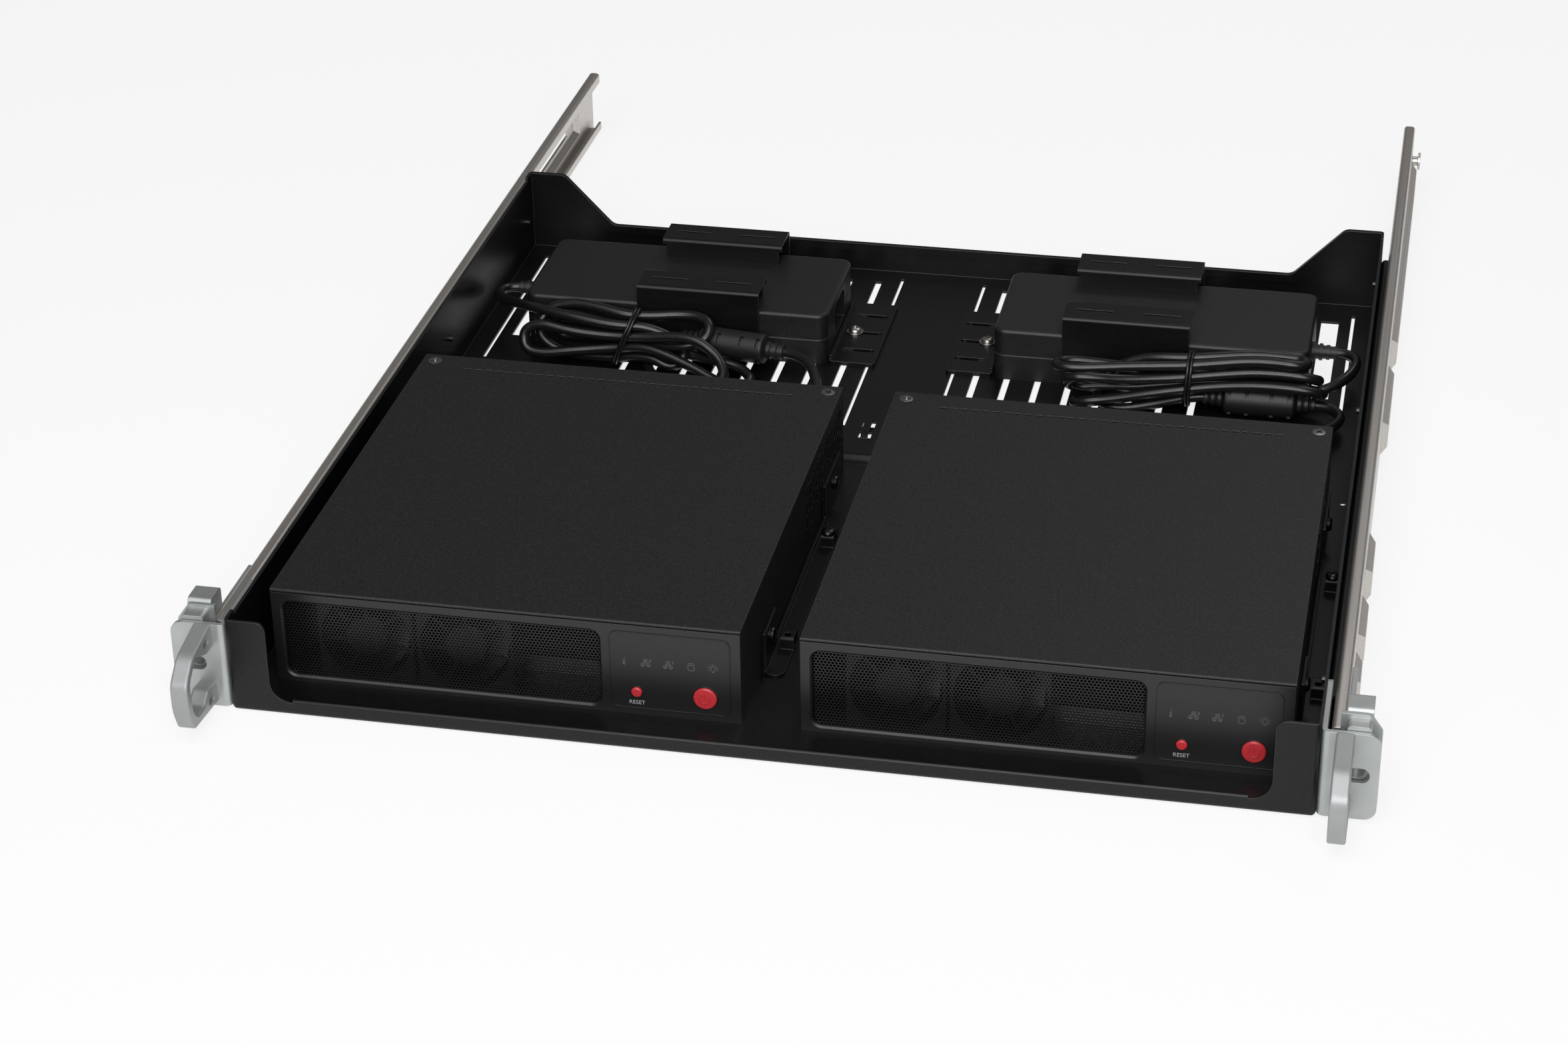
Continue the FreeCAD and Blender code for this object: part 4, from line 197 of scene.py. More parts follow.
def srgb(code):
    """Linear colour from an sRGB hex value."""
    values = []
    for i in (1, 3, 5):
        value = int(code[i:i + 2], 16) / 255
        values.append(value / 12.92 if value <= 0.04045 else ((value + 0.055) / 1.055) ** 2.4)
    return (*values, 1.0)


def at(x, y, z):
    """Point of the shared frame from millimetres, with y counted from the tray's front face."""
    return Vector((x * MM, y * MM + TRAY_FRONT, z * MM))


def add_node(tree, kind, links=None, stops=(), **values):
    """Add a node: inputs by name with _ for a space, settings, ramp stops, and links from nodes or sockets."""
    node = tree.nodes.new(kind)
    for key, value in values.items():
        socket = key.replace("_", " ")
        if socket in node.inputs:
            node.inputs[socket].default_value = value
        else:
            setattr(node, key, value)
    for i, (position, colour) in enumerate(stops):
        node.color_ramp.elements[i].position = position
        node.color_ramp.elements[i].color = colour
    for key, source in (links or {}).items():
        tree.links.new(getattr(source, "outputs", [source])[0], node.inputs[key])
    return node


def new_material(name, **values):
    """Material with its tree, its shader, set by the names of its inputs, and its object coordinates."""
    material = bpy.data.materials.new(name)
    material.use_nodes = True
    tree = material.node_tree
    shader = tree.nodes["Principled BSDF"]
    for key, value in values.items():
        shader.inputs[key.replace("_", " ")].default_value = value
    made[name] = material
    return tree, shader, add_node(tree, "ShaderNodeTexCoord").outputs["Object"]


def feed(tree, shader, colour=None, gloss=None, normal=None):
    """Link what a finish works out for its colour, roughness and normal into the shader."""
    for socket, source in (("Base Color", colour), ("Roughness", gloss), ("Normal", normal)):
        if source is not None:
            tree.links.new(source.outputs[0], shader.inputs[socket])


def toned(colour, share):
    """Darker or paler tone of a colour."""
    return [value * share for value in colour[:3]] + [1]


def soft_relief(tree, height, radius, strength, depth, samples=4):
    """Relief of a pattern over edges that are rounded; the radius and depth are in millimetres."""
    edge = add_node(tree, "ShaderNodeBevel", samples=samples, Radius=radius * MM)
    return add_node(tree, "ShaderNodeBump", {"Height": height, "Normal": edge},
                    Strength=strength, Distance=depth * MM)


def painted_edge_highlights(tree, shader, radius, paint, highlight_tone, bump):
    """Round the normals over an edge radius in millimetres, and mix a paler tone into the paint there as a painted
    highlight along the edges.
    """
    edge = add_node(tree, "ShaderNodeBevel", samples=6, Radius=radius * MM)
    flat = add_node(tree, "ShaderNodeNewGeometry")
    lean = add_node(tree, "ShaderNodeVectorMath", {0: edge, 1: flat.outputs["Normal"]}, operation="DOT_PRODUCT")
    # Mask of the edges, where the paler tone goes in as a painted highlight
    highlight_mask = add_node(tree, "ShaderNodeMapRange", {"Value": lean.outputs["Value"]}, From_Min=0.99, From_Max=0.8)
    tone = add_node(tree, "ShaderNodeMixRGB", {"Fac": highlight_mask, "Color1": paint}, Color2=highlight_tone)
    tree.links.new(edge.outputs["Normal"], bump.inputs["Normal"])
    feed(tree, shader, colour=tone, normal=bump)


def mesh_of(name, verts, faces):
    """Mesh from points and faces."""
    mesh = bpy.data.meshes.new(name)
    mesh.from_pydata(verts, [], faces)
    mesh.update()
    return mesh


def placed(name, data):
    """Object in the scene from its data."""
    thing = bpy.data.objects.new(name, data)
    bpy.context.scene.collection.objects.link(thing)
    return thing


def piece(name, data, body, material):
    """Object that rides on a body and finish."""
    thing = placed(name, data)
    data.materials.append(made[material])
    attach(thing, body)
    return thing


def dress(material, *names):
    """Give CAD nodes a finish."""
    for name in names:
        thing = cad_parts[name]
        if not thing.material_slots:
            thing.data.materials.append(made[material])
        for slot in thing.material_slots:
            slot.material = made[material]


def both(*names):
    """Left and right node names."""
    return [name + "_" + side for name in names for side in SIDES]


def rounded(mesh, degrees):
    """Smooth shading with edges kept crisp above an angle."""
    mesh.shade_smooth()
    mesh.set_sharp_from_angle(angle=math.radians(degrees))
    return mesh


def turned(name, profile, start, along, segments):
    """Solid of revolution from (distance, radius) pairs in millimetres."""
    along = Vector(along).normalized()
    across = along.orthogonal().normalized()
    upright = along.cross(across)
    start = Vector(start)
    verts = []
    faces = []
    for far, radius in profile:
        for k in range(segments):
            turn = 2 * math.pi * k / segments
            spoke = across * math.cos(turn) + upright * math.sin(turn)
            verts.append(start + along * (far * MM) + spoke * (radius * MM))
    for i in range(len(profile) - 1):
        for k in range(segments):
            n = (k + 1) % segments
            faces.append((i * segments + k, i * segments + n, (i + 1) * segments + n, (i + 1) * segments + k))
    last = (len(profile) - 1) * segments
    faces.append(tuple(reversed(range(segments))))
    faces.append(tuple(range(last, last + segments)))
    return mesh_of(name, verts, faces)


def honeycomb(name, width, height, pitch, hole, thick):
    """Perforated sheet in the xz plane: hexagonal holes in rows, with a closed rim, from y = 0 backwards."""
    rise = pitch * math.sqrt(3) / 2
    rows = int(height / rise)
    columns = int(width / pitch)
    shared = {}
    verts = []
    faces = []
    used = {}

    def corner(x, z):
        key = (round(x * 1e6), round(z * 1e6))
        if key not in shared:
            shared[key] = len(verts)
            verts.append((x, 0, z))
        return shared[key]

    for row in range(rows):
        z = (row - (rows - 1) / 2) * rise
        shift = pitch / 4 if row % 2 else -pitch / 4
        for column in range(columns):
            x = (column - (columns - 1) / 2) * pitch + shift
            outer = []
            inner = []
            for k in range(6):
                turn = math.radians(30 + 60 * k)
                reach = pitch / math.sqrt(3)
                outer.append(corner(x + reach * math.cos(turn), z + reach * math.sin(turn)))
                reach = hole / math.sqrt(3)
                inner.append(len(verts))
                verts.append((x + reach * math.cos(turn), 0, z + reach * math.sin(turn)))
            for k in range(6):
                n = (k + 1) % 6
                faces.append((outer[k], outer[n], inner[n], inner[k]))
                faces.append(("wall", inner[k], inner[n]))
                used[outer[k], outer[n]] = True
    flat = len(verts)
    verts += [(x, thick, z) for x, y, z in verts]
    solid = []
    for face in faces:
        if face[0] == "wall":
            a, b = face[1:]
            solid.append((a, b, b + flat, a + flat))
        else:
            solid.append(face)
            solid.append(tuple(i + flat for i in reversed(face)))
    for a, b in used:
        if (b, a) not in used:
            solid.append((b, a, a + flat, b + flat))
    return mesh_of(name, [Vector(v) * MM for v in verts], solid)


def strokes(name, lines, width, thick):
    """Raised print in the xz plane from polylines in millimetres, each a closed strip standing towards -y."""
    verts = []
    faces = []
    for line in lines:
        closed = line[0] == line[-1]
        points = [Vector((u, v)) for u, v in (line[:-1] if closed else line)]
        count = len(points)
        start = len(verts)
        for i, here in enumerate(points):
            before = points[i - 1] if closed or i > 0 else None
            after = points[(i + 1) % count] if closed or i < count - 1 else None
            ways = [(here - before).normalized()] if before is not None else []
            ways += [(after - here).normalized()] if after is not None else []
            way = (ways[0] + ways[-1]).normalized()
            normal = Vector((-way.y, way.x))
            reach = width / 2 / max(SHARPEST_MITRE, normal.dot(Vector((-ways[0].y, ways[0].x))))
            for side in (1, -1):
                spot = here + normal * (reach * side)
                verts.append((spot.x * MM, 0, spot.y * MM))
                verts.append((spot.x * MM, -thick * MM, spot.y * MM))
        runs = count if closed else count - 1
        for i in range(runs):
            a = start + 4 * i
            b = start + 4 * ((i + 1) % count)
            faces += [(a + 1, a + 3, b + 3, b + 1), (a, b, b + 2, a + 2),
                      (a, a + 1, b + 1, b), (a + 2, b + 2, b + 3, a + 3)]
        if not closed:
            end = start + 4 * (count - 1)
            faces += [(start, start + 2, start + 3, start + 1), (end, end + 1, end + 3, end + 2)]
    return mesh_of(name, verts, faces)


def moved(lines, x, z):
    """Polylines shifted to a place."""
    return [[(x + u, z + v) for u, v in line] for line in lines]


def middle_of(name):
    """Middle of a node's box in the xz plane, in millimetres."""
    low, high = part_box(name)
    return (low.x + high.x) / 2 / MM, (low.z + high.z) / 2 / MM


def ring(x, z, radius, start=0, end=360, steps=20, squash=1.0):
    """Points round an arc in degrees, clockwise from the top."""
    points = []
    for i in range(steps + 1):
        turn = math.radians(start + (end - start) * i / steps)
        points.append((x + radius * math.sin(turn), z + radius * squash * math.cos(turn)))
    if end - start == 360:
        points[-1] = points[0]
    return points


class TrayColours(bpy.types.PropertyGroup):
    """Colours of the finishes, as linear values."""
    sheet_black: FloatVectorProperty(name="Tray black", description="Powder coat of the tray and its clips",
                                     subtype="COLOR", size=4, default=srgb("#070708"), min=0, max=1)
    server_black: FloatVectorProperty(name="Server black", description="Textured paint of the server cases",
                                      subtype="COLOR", size=4, default=srgb("#151416"), min=0, max=1)
    adapter_black: FloatVectorProperty(name="Adapter black", description="Moulded grain of the power adapters",
                                       subtype="COLOR", size=4, default=srgb("#111012"), min=0, max=1)
    button_red: FloatVectorProperty(name="Button red", description="Moulded colour of the buttons",
                                    subtype="COLOR", size=4, default=srgb("#bb3036"), min=0, max=1)
    zinc: FloatVectorProperty(name="Zinc", description="Plated ears and rack brackets",
                              subtype="COLOR", size=4, default=srgb("#bec2c1"), min=0, max=1)
    print_grey: FloatVectorProperty(name="Print grey", description="Printed lamp symbols",
                                    subtype="COLOR", size=4, default=srgb("#4e504e"), min=0, max=1)


class TraySizes(bpy.types.PropertyGroup):
    """Sizes of the pieces that the scene adds."""
    lead_diameter: FloatProperty(name="Lead diameter", description="Outside of the adapter lead's sheath",
                                 unit="LENGTH", default=0.005, min=0.002, max=0.01)
    lead_length: FloatProperty(name="Lead length", description="One adapter lead from relief to plug",
                               unit="LENGTH", default=1.05, min=0.3, max=3.0)
    tie_wire: FloatProperty(name="Tie thickness", description="Thickness of the tie round a bundle",
                            unit="LENGTH", default=0.0016, min=0.0005, max=0.004)
    mesh_pitch: FloatProperty(name="Mesh pitch (mm)", description="Spacing of the holes in the front grilles",
                              default=1.5, min=1.0, max=6.0)
    mesh_hole: FloatProperty(name="Mesh hole (mm)", description="Width of a hole in the front grilles",
                             default=1.14, min=0.5, max=5.0)
    vent_pitch: FloatProperty(name="Vent pitch (mm)", description="Spacing of the holes in the side vents",
                              default=3.9, min=2.0, max=10.0)
    turns: IntProperty(name="Tie turns", description="Times each tie goes round its bundle",
                       default=2, min=1, max=4)


class TrayStage(bpy.types.PropertyGroup):
    """Levels of the studio."""
    floor_white: FloatVectorProperty(name="Floor", description="Colour of the studio floor",
                                     subtype="COLOR", size=4, default=srgb("#f6f6f6"), min=0, max=1)
    key_watts: FloatProperty(name="Key light", description="Power of the large soft light", unit="POWER",
                             default=17, min=0, max=500)
    fill_watts: FloatProperty(name="Front light", description="Power of the broad light in front", unit="POWER",
                              default=44, min=0, max=500)
    back_watts: FloatProperty(name="Back light", description="Power of the light behind", unit="POWER",
                              default=5, min=0, max=500)
    sky_level: FloatProperty(name="Surround", description="Even light from all round", default=0.07, min=0, max=2)


def tray_powder_coat(colour):
    """Powder coat on folded steel: deep black and satin, with a fine peppery texture and a paler painted highlight
    along its folds and edges.
    """
    tree, shader, place = new_material("powder_coated_steel", IOR=1.5, Specular_IOR_Level=0.34)
    # Pepper of about 0.5 mm drawn at 0.9 mm so that it shows, and broad unevenness of about 40 mm
    pepper = add_node(tree, "ShaderNodeTexNoise", {"Vector": place}, Scale=1 / (0.9 * MM), Detail=3, Roughness=0.7)
    broad = add_node(tree, "ShaderNodeTexNoise", {"Vector": place}, Scale=1 / (40 * MM), Detail=3)
    gloss = add_node(tree, "ShaderNodeMapRange", {"Value": broad}, To_Min=0.3, To_Max=0.42)
    ramp = add_node(tree, "ShaderNodeValToRGB", {"Fac": pepper},
                    ((0.4, toned(colour, 0.6)), (0.75, toned(colour, 3))))
    bump = add_node(tree, "ShaderNodeBump", {"Height": pepper}, Strength=0.35, Distance=0.05 * MM)
    feed(tree, shader, gloss=gloss)
    # Paler tone along the edges, mixed in as a painted highlight
    painted_edge_highlights(tree, shader, 0.5, ramp, srgb("#3e3e40"), bump)


def server_texture_paint(colour):
    """Fine-textured black paint on sheet steel: matt and sandy, with pale specks and a paler painted highlight
    along its edges.
    """
    tree, shader, place = new_material("sand_textured_paint", IOR=1.5, Roughness=0.5, Specular_IOR_Level=0.45)
    # Sand grains of about 0.4 mm, drawn at 0.8 mm so that they show in the picture
    sand = add_node(tree, "ShaderNodeTexNoise", {"Vector": place}, Scale=1 / (0.8 * MM), Detail=3, Roughness=0.75)
    ramp = add_node(tree, "ShaderNodeValToRGB", {"Fac": sand},
                    ((0.36, toned(colour, 0.1)), (0.68, toned(colour, 2.4))))
    bump = add_node(tree, "ShaderNodeBump", {"Height": sand}, Strength=0.5, Distance=0.1 * MM)
    # Paler tone along the edges, mixed in as a painted highlight
    painted_edge_highlights(tree, shader, 0.4, ramp, srgb("#504f54"), bump)


def zinc_plating(colour):
    """Zinc-plated rolled steel: pale, cool and semi-bright, with faint streaks and cloudy patches."""
    tree, shader, place = new_material("zinc_plated_steel", Metallic=0.75)
    # Rolling streaks 0.3 mm across and 25 mm long, clouds of about 12 mm
    rolled = (1 / (0.3 * MM), 1 / (0.3 * MM), 1 / (25 * MM))
    stretch = add_node(tree, "ShaderNodeMapping", {"Vector": place}, Scale=rolled)
    streak = add_node(tree, "ShaderNodeTexNoise", {"Vector": stretch}, Scale=1, Detail=2)
    cloud = add_node(tree, "ShaderNodeTexNoise", {"Vector": place}, Scale=1 / (12 * MM), Detail=4)
    ramp = add_node(tree, "ShaderNodeValToRGB", {"Fac": cloud}, ((0, toned(colour, 0.72)), (1, colour)))
    gloss = add_node(tree, "ShaderNodeMapRange", {"Value": streak}, To_Min=0.36, To_Max=0.52)
    edge = add_node(tree, "ShaderNodeBevel", samples=4, Radius=0.3 * MM)
    feed(tree, shader, ramp, gloss, edge)


def rail_steel():
    """Roll-formed slide steel: grey with a warm cast, faint drawn lines along the rail and a smooth sheen."""
    tree, shader, place = new_material("roll_formed_steel", Metallic=0.9)
    # Drawn lines 0.6 mm apart and 120 mm long, pits of about 1 mm
    drawn_out = (1 / (0.6 * MM), 1 / (120 * MM), 1 / (0.6 * MM))
    stretch = add_node(tree, "ShaderNodeMapping", {"Vector": place}, Scale=drawn_out)
    drawn = add_node(tree, "ShaderNodeTexNoise", {"Vector": stretch}, Scale=1, Detail=3)
    pits = add_node(tree, "ShaderNodeTexNoise", {"Vector": place}, Scale=1 / MM, Detail=3, Roughness=0.7)
    stain = add_node(tree, "ShaderNodeMath", {0: drawn, 1: pits}, operation="MULTIPLY")
    ramp = add_node(tree, "ShaderNodeValToRGB", {"Fac": stain}, ((0.1, srgb("#bcb6b1")), (0.42, srgb("#d6d2cd"))))
    gloss = add_node(tree, "ShaderNodeMapRange", {"Value": drawn}, To_Min=0.3, To_Max=0.42)
    feed(tree, shader, ramp, gloss, soft_relief(tree, pits, 0.6, 0.08, 0.03))


def satin_casting():
    """Die casting under silver lacquer: pale, soft and even, with a fine metallic grain."""
    tree, shader, place = new_material("silver_lacquered_casting", Metallic=0.45)
    # Metal flakes of about 0.1 mm, drawn at 0.35 mm
    flake = add_node(tree, "ShaderNodeTexNoise", {"Vector": place}, Scale=1 / (0.35 * MM), Detail=3, Roughness=0.7)
    ramp = add_node(tree, "ShaderNodeValToRGB", {"Fac": flake}, ((0.25, srgb("#8e9091")), (0.75, srgb("#a5a7a7"))))
    gloss = add_node(tree, "ShaderNodeMapRange", {"Value": flake}, To_Min=0.36, To_Max=0.5)
    feed(tree, shader, ramp, gloss, soft_relief(tree, flake, 0.6, 0.06, 0.03, 6))


def bezel_moulding():
    """Moulded ABS front: black and satin, with a fine etched grain and bright arrises."""
    tree, shader, place = new_material("moulded_abs_bezel", Base_Color=srgb("#141415"), IOR=1.53)
    # Etched grain of about 0.25 mm
    etch = add_node(tree, "ShaderNodeTexNoise", {"Vector": place}, Scale=1 / (0.25 * MM), Detail=2)
    gloss = add_node(tree, "ShaderNodeMapRange", {"Value": etch}, To_Min=0.3, To_Max=0.46)
    feed(tree, shader, gloss=gloss, normal=soft_relief(tree, etch, 0.3, 0.15, 0.02))


def button_moulding(colour):
    """Moulded polycarbonate buttons: satin red with a slight cloud in the pigment."""
    tree, shader, place = new_material("moulded_red_polycarbonate", IOR=1.58, Roughness=0.3)
    # Pigment clouds of about 2 mm, handling marks of 0.3 mm
    cloud = add_node(tree, "ShaderNodeTexNoise", {"Vector": place}, Scale=1 / (2 * MM), Detail=3)
    ramp = add_node(tree, "ShaderNodeValToRGB", {"Fac": cloud}, ((0, toned(colour, 0.8)), (1, colour)))
    marks = add_node(tree, "ShaderNodeTexNoise", {"Vector": place}, Scale=1 / (0.3 * MM), Detail=2)
    feed(tree, shader, ramp, normal=soft_relief(tree, marks, 0.4, 0.08, 0.02))


def adapter_moulding(colour):
    """Moulded adapter case with a spark-eroded grain: matt black with fine pale speckle and a paler painted
    highlight along its edges.
    """
    tree, shader, place = new_material("spark_eroded_polycarbonate", IOR=1.58, Roughness=0.45,
                                       Specular_IOR_Level=0.4)
    # Eroded pits of about 0.5 mm, drawn at 1 mm
    pits = add_node(tree, "ShaderNodeTexNoise", {"Vector": place}, Scale=1 / MM, Detail=3, Roughness=0.75)
    ramp = add_node(tree, "ShaderNodeValToRGB", {"Fac": pits},
                    ((0.3, toned(colour, 0.35)), (0.7, toned(colour, 1.9))))
    bump = add_node(tree, "ShaderNodeBump", {"Height": pits}, Strength=0.5, Distance=0.12 * MM)
    # Paler tone along the edges, mixed in as a painted highlight
    painted_edge_highlights(tree, shader, 0.7, ramp, srgb("#4a494d"), bump)


def lead_sheath():
    """Extruded PVC sheath: black, smooth and rather glossy, with slow ripples along its length."""
    tree, shader, place = new_material("extruded_pvc_sheath", Base_Color=srgb("#121213"), IOR=1.53)
    # Ripples of about 6 mm, dust and scuffs of about 1.5 mm
    ripple = add_node(tree, "ShaderNodeTexNoise", {"Vector": place}, Scale=1 / (6 * MM), Detail=2)
    scuff = add_node(tree, "ShaderNodeTexNoise", {"Vector": place}, Scale=1 / (1.5 * MM), Detail=3)
    gloss = add_node(tree, "ShaderNodeMapRange", {"Value": scuff}, To_Min=0.2, To_Max=0.42)
    bump = add_node(tree, "ShaderNodeBump", {"Height": ripple}, Strength=0.2, Distance=0.15 * MM)
    feed(tree, shader, gloss=gloss, normal=bump)


def filter_moulding():
    """Overmoulded PVC of filters, reliefs and plugs: black, matt and finely grained."""
    tree, shader, place = new_material("overmoulded_matt_pvc", Base_Color=srgb("#101011"), IOR=1.53, Roughness=0.5)
    # Mould grain of about 0.5 mm
    grain = add_node(tree, "ShaderNodeTexNoise", {"Vector": place}, Scale=1 / (0.5 * MM), Detail=3)
    bump = add_node(tree, "ShaderNodeBump", {"Height": grain}, Strength=0.35, Distance=0.06 * MM)
    feed(tree, shader, normal=bump)


def grille_paint(name, colour):
    """Painted perforated steel: black and satin, so that the bars between the holes glint."""
    tree, shader, place = new_material(name, Base_Color=colour, IOR=1.5)
    # Paint thickness varies over about 3 mm
    coat = add_node(tree, "ShaderNodeTexNoise", {"Vector": place}, Scale=1 / (3 * MM), Detail=2)
    feed(tree, shader, gloss=add_node(tree, "ShaderNodeMapRange", {"Value": coat}, To_Min=0.22, To_Max=0.38))


def fan_nylon(name, colour):
    """Glass-filled nylon fans: black, satin, with flow marks."""
    tree, shader, place = new_material(name, Base_Color=colour, IOR=1.53)
    # Flow marks of about 4 mm
    flow = add_node(tree, "ShaderNodeTexNoise", {"Vector": place}, Scale=1 / (4 * MM), Detail=3)
    feed(tree, shader, gloss=add_node(tree, "ShaderNodeMapRange", {"Value": flow}, To_Min=0.3, To_Max=0.5))


def board_laminate():
    """Glass-epoxy board under green solder mask, with metal-cased ports standing above it."""
    tree, shader, place = new_material("solder_masked_laminate", IOR=1.55, Roughness=0.4)
    # The board's top lies 8.8 mm above the floor; tracks repeat at about 1.2 mm
    split = add_node(tree, "ShaderNodeSeparateXYZ", {"Vector": place})
    above = add_node(tree, "ShaderNodeMath", {0: split.outputs["Z"]}, operation="GREATER_THAN")
    above.inputs[1].default_value = 8.9 * MM
    tracks = add_node(tree, "ShaderNodeTexNoise", {"Vector": place}, Scale=1 / (1.2 * MM), Detail=2)
    total = add_node(tree, "ShaderNodeMath", {0: above, 2: tracks}, operation="MULTIPLY_ADD")
    total.inputs[1].default_value = 0.7
    ramp = add_node(tree, "ShaderNodeValToRGB", {"Fac": total}, ((0.3, srgb("#123f27")), (0.62, srgb("#1c5a37"))))
    ramp.color_ramp.elements.new(0.8).color = srgb("#8a8c8d")
    tree.links.new(above.outputs["Value"], shader.inputs["Metallic"])
    feed(tree, shader, ramp)


def sawn_aluminium():
    """Extruded aluminium: pale, with fine drawn lines along the fins."""
    tree, shader, place = new_material("extruded_aluminium", Metallic=1)
    # Extrusion lines 0.3 mm apart and 60 mm long
    drawn_out = (1 / (0.3 * MM), 1 / (60 * MM), 1 / (0.3 * MM))
    stretch = add_node(tree, "ShaderNodeMapping", {"Vector": place}, Scale=drawn_out)
    drawn = add_node(tree, "ShaderNodeTexNoise", {"Vector": stretch}, Scale=1, Detail=2)
    ramp = add_node(tree, "ShaderNodeValToRGB", {"Fac": drawn}, ((0, srgb("#b4b6b8")), (1, srgb("#d8dadb"))))
    feed(tree, shader, ramp, add_node(tree, "ShaderNodeMapRange", {"Value": drawn}, To_Min=0.25, To_Max=0.45))


def screw_plating(name, dark, bright):
    """Plated screw steel: tone and roughness vary at random with handling marks, between a darker and a brighter
    shade.
    """
    tree, shader, place = new_material(name, Metallic=1)
    # Handling marks of about 0.6 mm
    marks = add_node(tree, "ShaderNodeTexNoise", {"Vector": place}, Scale=1 / (0.6 * MM), Detail=3)
    ramp = add_node(tree, "ShaderNodeValToRGB", {"Fac": marks}, ((0, srgb(dark)), (1, srgb(bright))))
    feed(tree, shader, ramp, add_node(tree, "ShaderNodeMapRange", {"Value": marks}, To_Min=0.22, To_Max=0.4))


def screen_ink(name, colour):
    """Screen-printed ink: matt, slightly uneven in cover."""
    tree, shader, place = new_material(name, IOR=1.5, Roughness=0.6)
    # Uneven cover over about 0.4 mm
    cover = add_node(tree, "ShaderNodeTexNoise", {"Vector": place}, Scale=1 / (0.4 * MM), Detail=2)
    ramp = add_node(tree, "ShaderNodeValToRGB", {"Fac": cover}, ((0, toned(colour, 0.75)), (1, colour)))
    feed(tree, shader, ramp)


class OBJECT_OT_tray_finishes(bpy.types.Operator):
    """Make every finish and put it on the CAD nodes"""
    bl_idname = "object.tray_finishes"
    bl_label = "Finishes"

    def execute(self, context):
        colours = context.scene.tray_colours
        tray_powder_coat(colours.sheet_black)
        server_texture_paint(colours.server_black)
        zinc_plating(colours.zinc)
        rail_steel()
        satin_casting()
        bezel_moulding()
        button_moulding(colours.button_red)
        adapter_moulding(colours.adapter_black)
        lead_sheath()
        filter_moulding()
        grille_paint("painted_perforated_steel", srgb("#161617"))
        # The side vents get a darker copy of the grille paint, as painted shade on the server sides
        grille_paint("vent_steel_painted_shade", srgb("#0b0b0c"))
        # The fan frames get a paler tone than the blades' nylon, as painted light on their lower arcs seen through
        # the grille
        fan_nylon("fan_frame_nylon_painted_light", srgb("#1c1c1d"))
        fan_nylon("blade_nylon", srgb("#070708"))
        board_laminate()
        sawn_aluminium()
        screw_plating("nickel_plated_steel", "#8f8d88", "#cfcdc8")
        screw_plating("black_oxide_steel", "#2c2c2d", "#6a6a6b")
        screw_plating("black_nickel_steel", "#6e6c69", "#b9b7b3")
        screen_ink("grey_screen_ink", colours.print_grey)
        screen_ink("white_screen_ink", srgb("#a4a4a4"))
        dress("powder_coated_steel", "tray", "adapter_clips", "end_stops", *both("inner_rail", "server_bracket"))
        dress("roll_formed_steel", *both("outer_rail"))
        dress("zinc_plated_steel", *both("rack_bracket", "ear"))
        dress("silver_lacquered_casting", *both("handle"))
        dress("nickel_plated_steel", "handle_screws", "floor_screws")
        dress("black_oxide_steel", "rail_screws", "cover_screws", "side_screws")
        dress("sand_textured_paint", *both("chassis", "cover"))
        dress("moulded_abs_bezel", *both("front_panel", "control_plate", "ac_inlet"))
        dress("moulded_red_polycarbonate", *both("power_button", "reset_button"))
        dress("fan_frame_nylon_painted_light", *both("fan_frames"))
        dress("blade_nylon", *both("fan_rotor_a", "fan_rotor_b"))
        dress("solder_masked_laminate", *both("motherboard"))
        dress("extruded_aluminium", *both("heatsink", "drive"))
        dress("spark_eroded_polycarbonate", *both("adapter_base", "adapter_lid"))
        dress("overmoulded_matt_pvc", "strain_reliefs", "ferrites", "dc_plugs", "cord_ties")
        dress("extruded_pvc_sheath", *both("cord", "hank"))
        dress("painted_perforated_steel", *both("grille"))
        return {"FINISHED"}


class OBJECT_OT_tray_leads(bpy.types.Operator):
    """Lay each adapter lead as one smooth line through its tied turns"""
    bl_idname = "object.tray_leads"
    bl_label = "Adapter leads"

    def execute(self, context):
        sizes = context.scene.tray_sizes
        for side, route in (("left", LEAD_LEFT), ("right", LEAD_RIGHT)):
            curve = bpy.data.curves.new("lead_" + side, "CURVE")
            curve.dimensions = "3D"
            line = curve.splines.new("NURBS")
            line.points.add(len(route) - 1)
            for point, place in zip(line.points, route):
                point.co = (*at(*place), 1)
            line.order_u = 3
            line.use_endpoint_u = True
            line.resolution_u = 8
            curve.bevel_depth = sizes.lead_diameter / 2
            curve.bevel_resolution = 4
            curve.use_fill_caps = True
            lead = piece("lead_" + side, curve, "tray", "extruded_pvc_sheath")
            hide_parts("cord_" + side, "hank_" + side)
            made["lead_" + side] = lead
        return {"FINISHED"}


class OBJECT_OT_tray_ties(bpy.types.Operator):
    """Wind a wire tie round each bundle"""
    bl_idname = "object.tray_ties"
    bl_label = "Bundle ties"

    def execute(self, context):
        sizes = context.scene.tray_sizes
        for side, girth, foot, lean in TIES:
            curve = bpy.data.curves.new("bundle_tie_" + side, "CURVE")
            curve.dimensions = "3D"
            for k in range(sizes.turns):
                line = curve.splines.new("NURBS")
                line.points.add(len(girth) - 1)
                offset = (k - (sizes.turns - 1) / 2) * sizes.tie_wire / MM
                for point, (y, z) in zip(line.points, girth):
                    point.co = (*at(foot + lean * z + offset, y, z), 1)
                line.use_cyclic_u = True
                line.order_u = 3
                line.resolution_u = 8
            curve.bevel_depth = sizes.tie_wire / 2
            curve.bevel_resolution = 3
            tie = piece("bundle_tie_" + side, curve, "tray", "extruded_pvc_sheath")
            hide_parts("cord_ties")
        return {"FINISHED"}


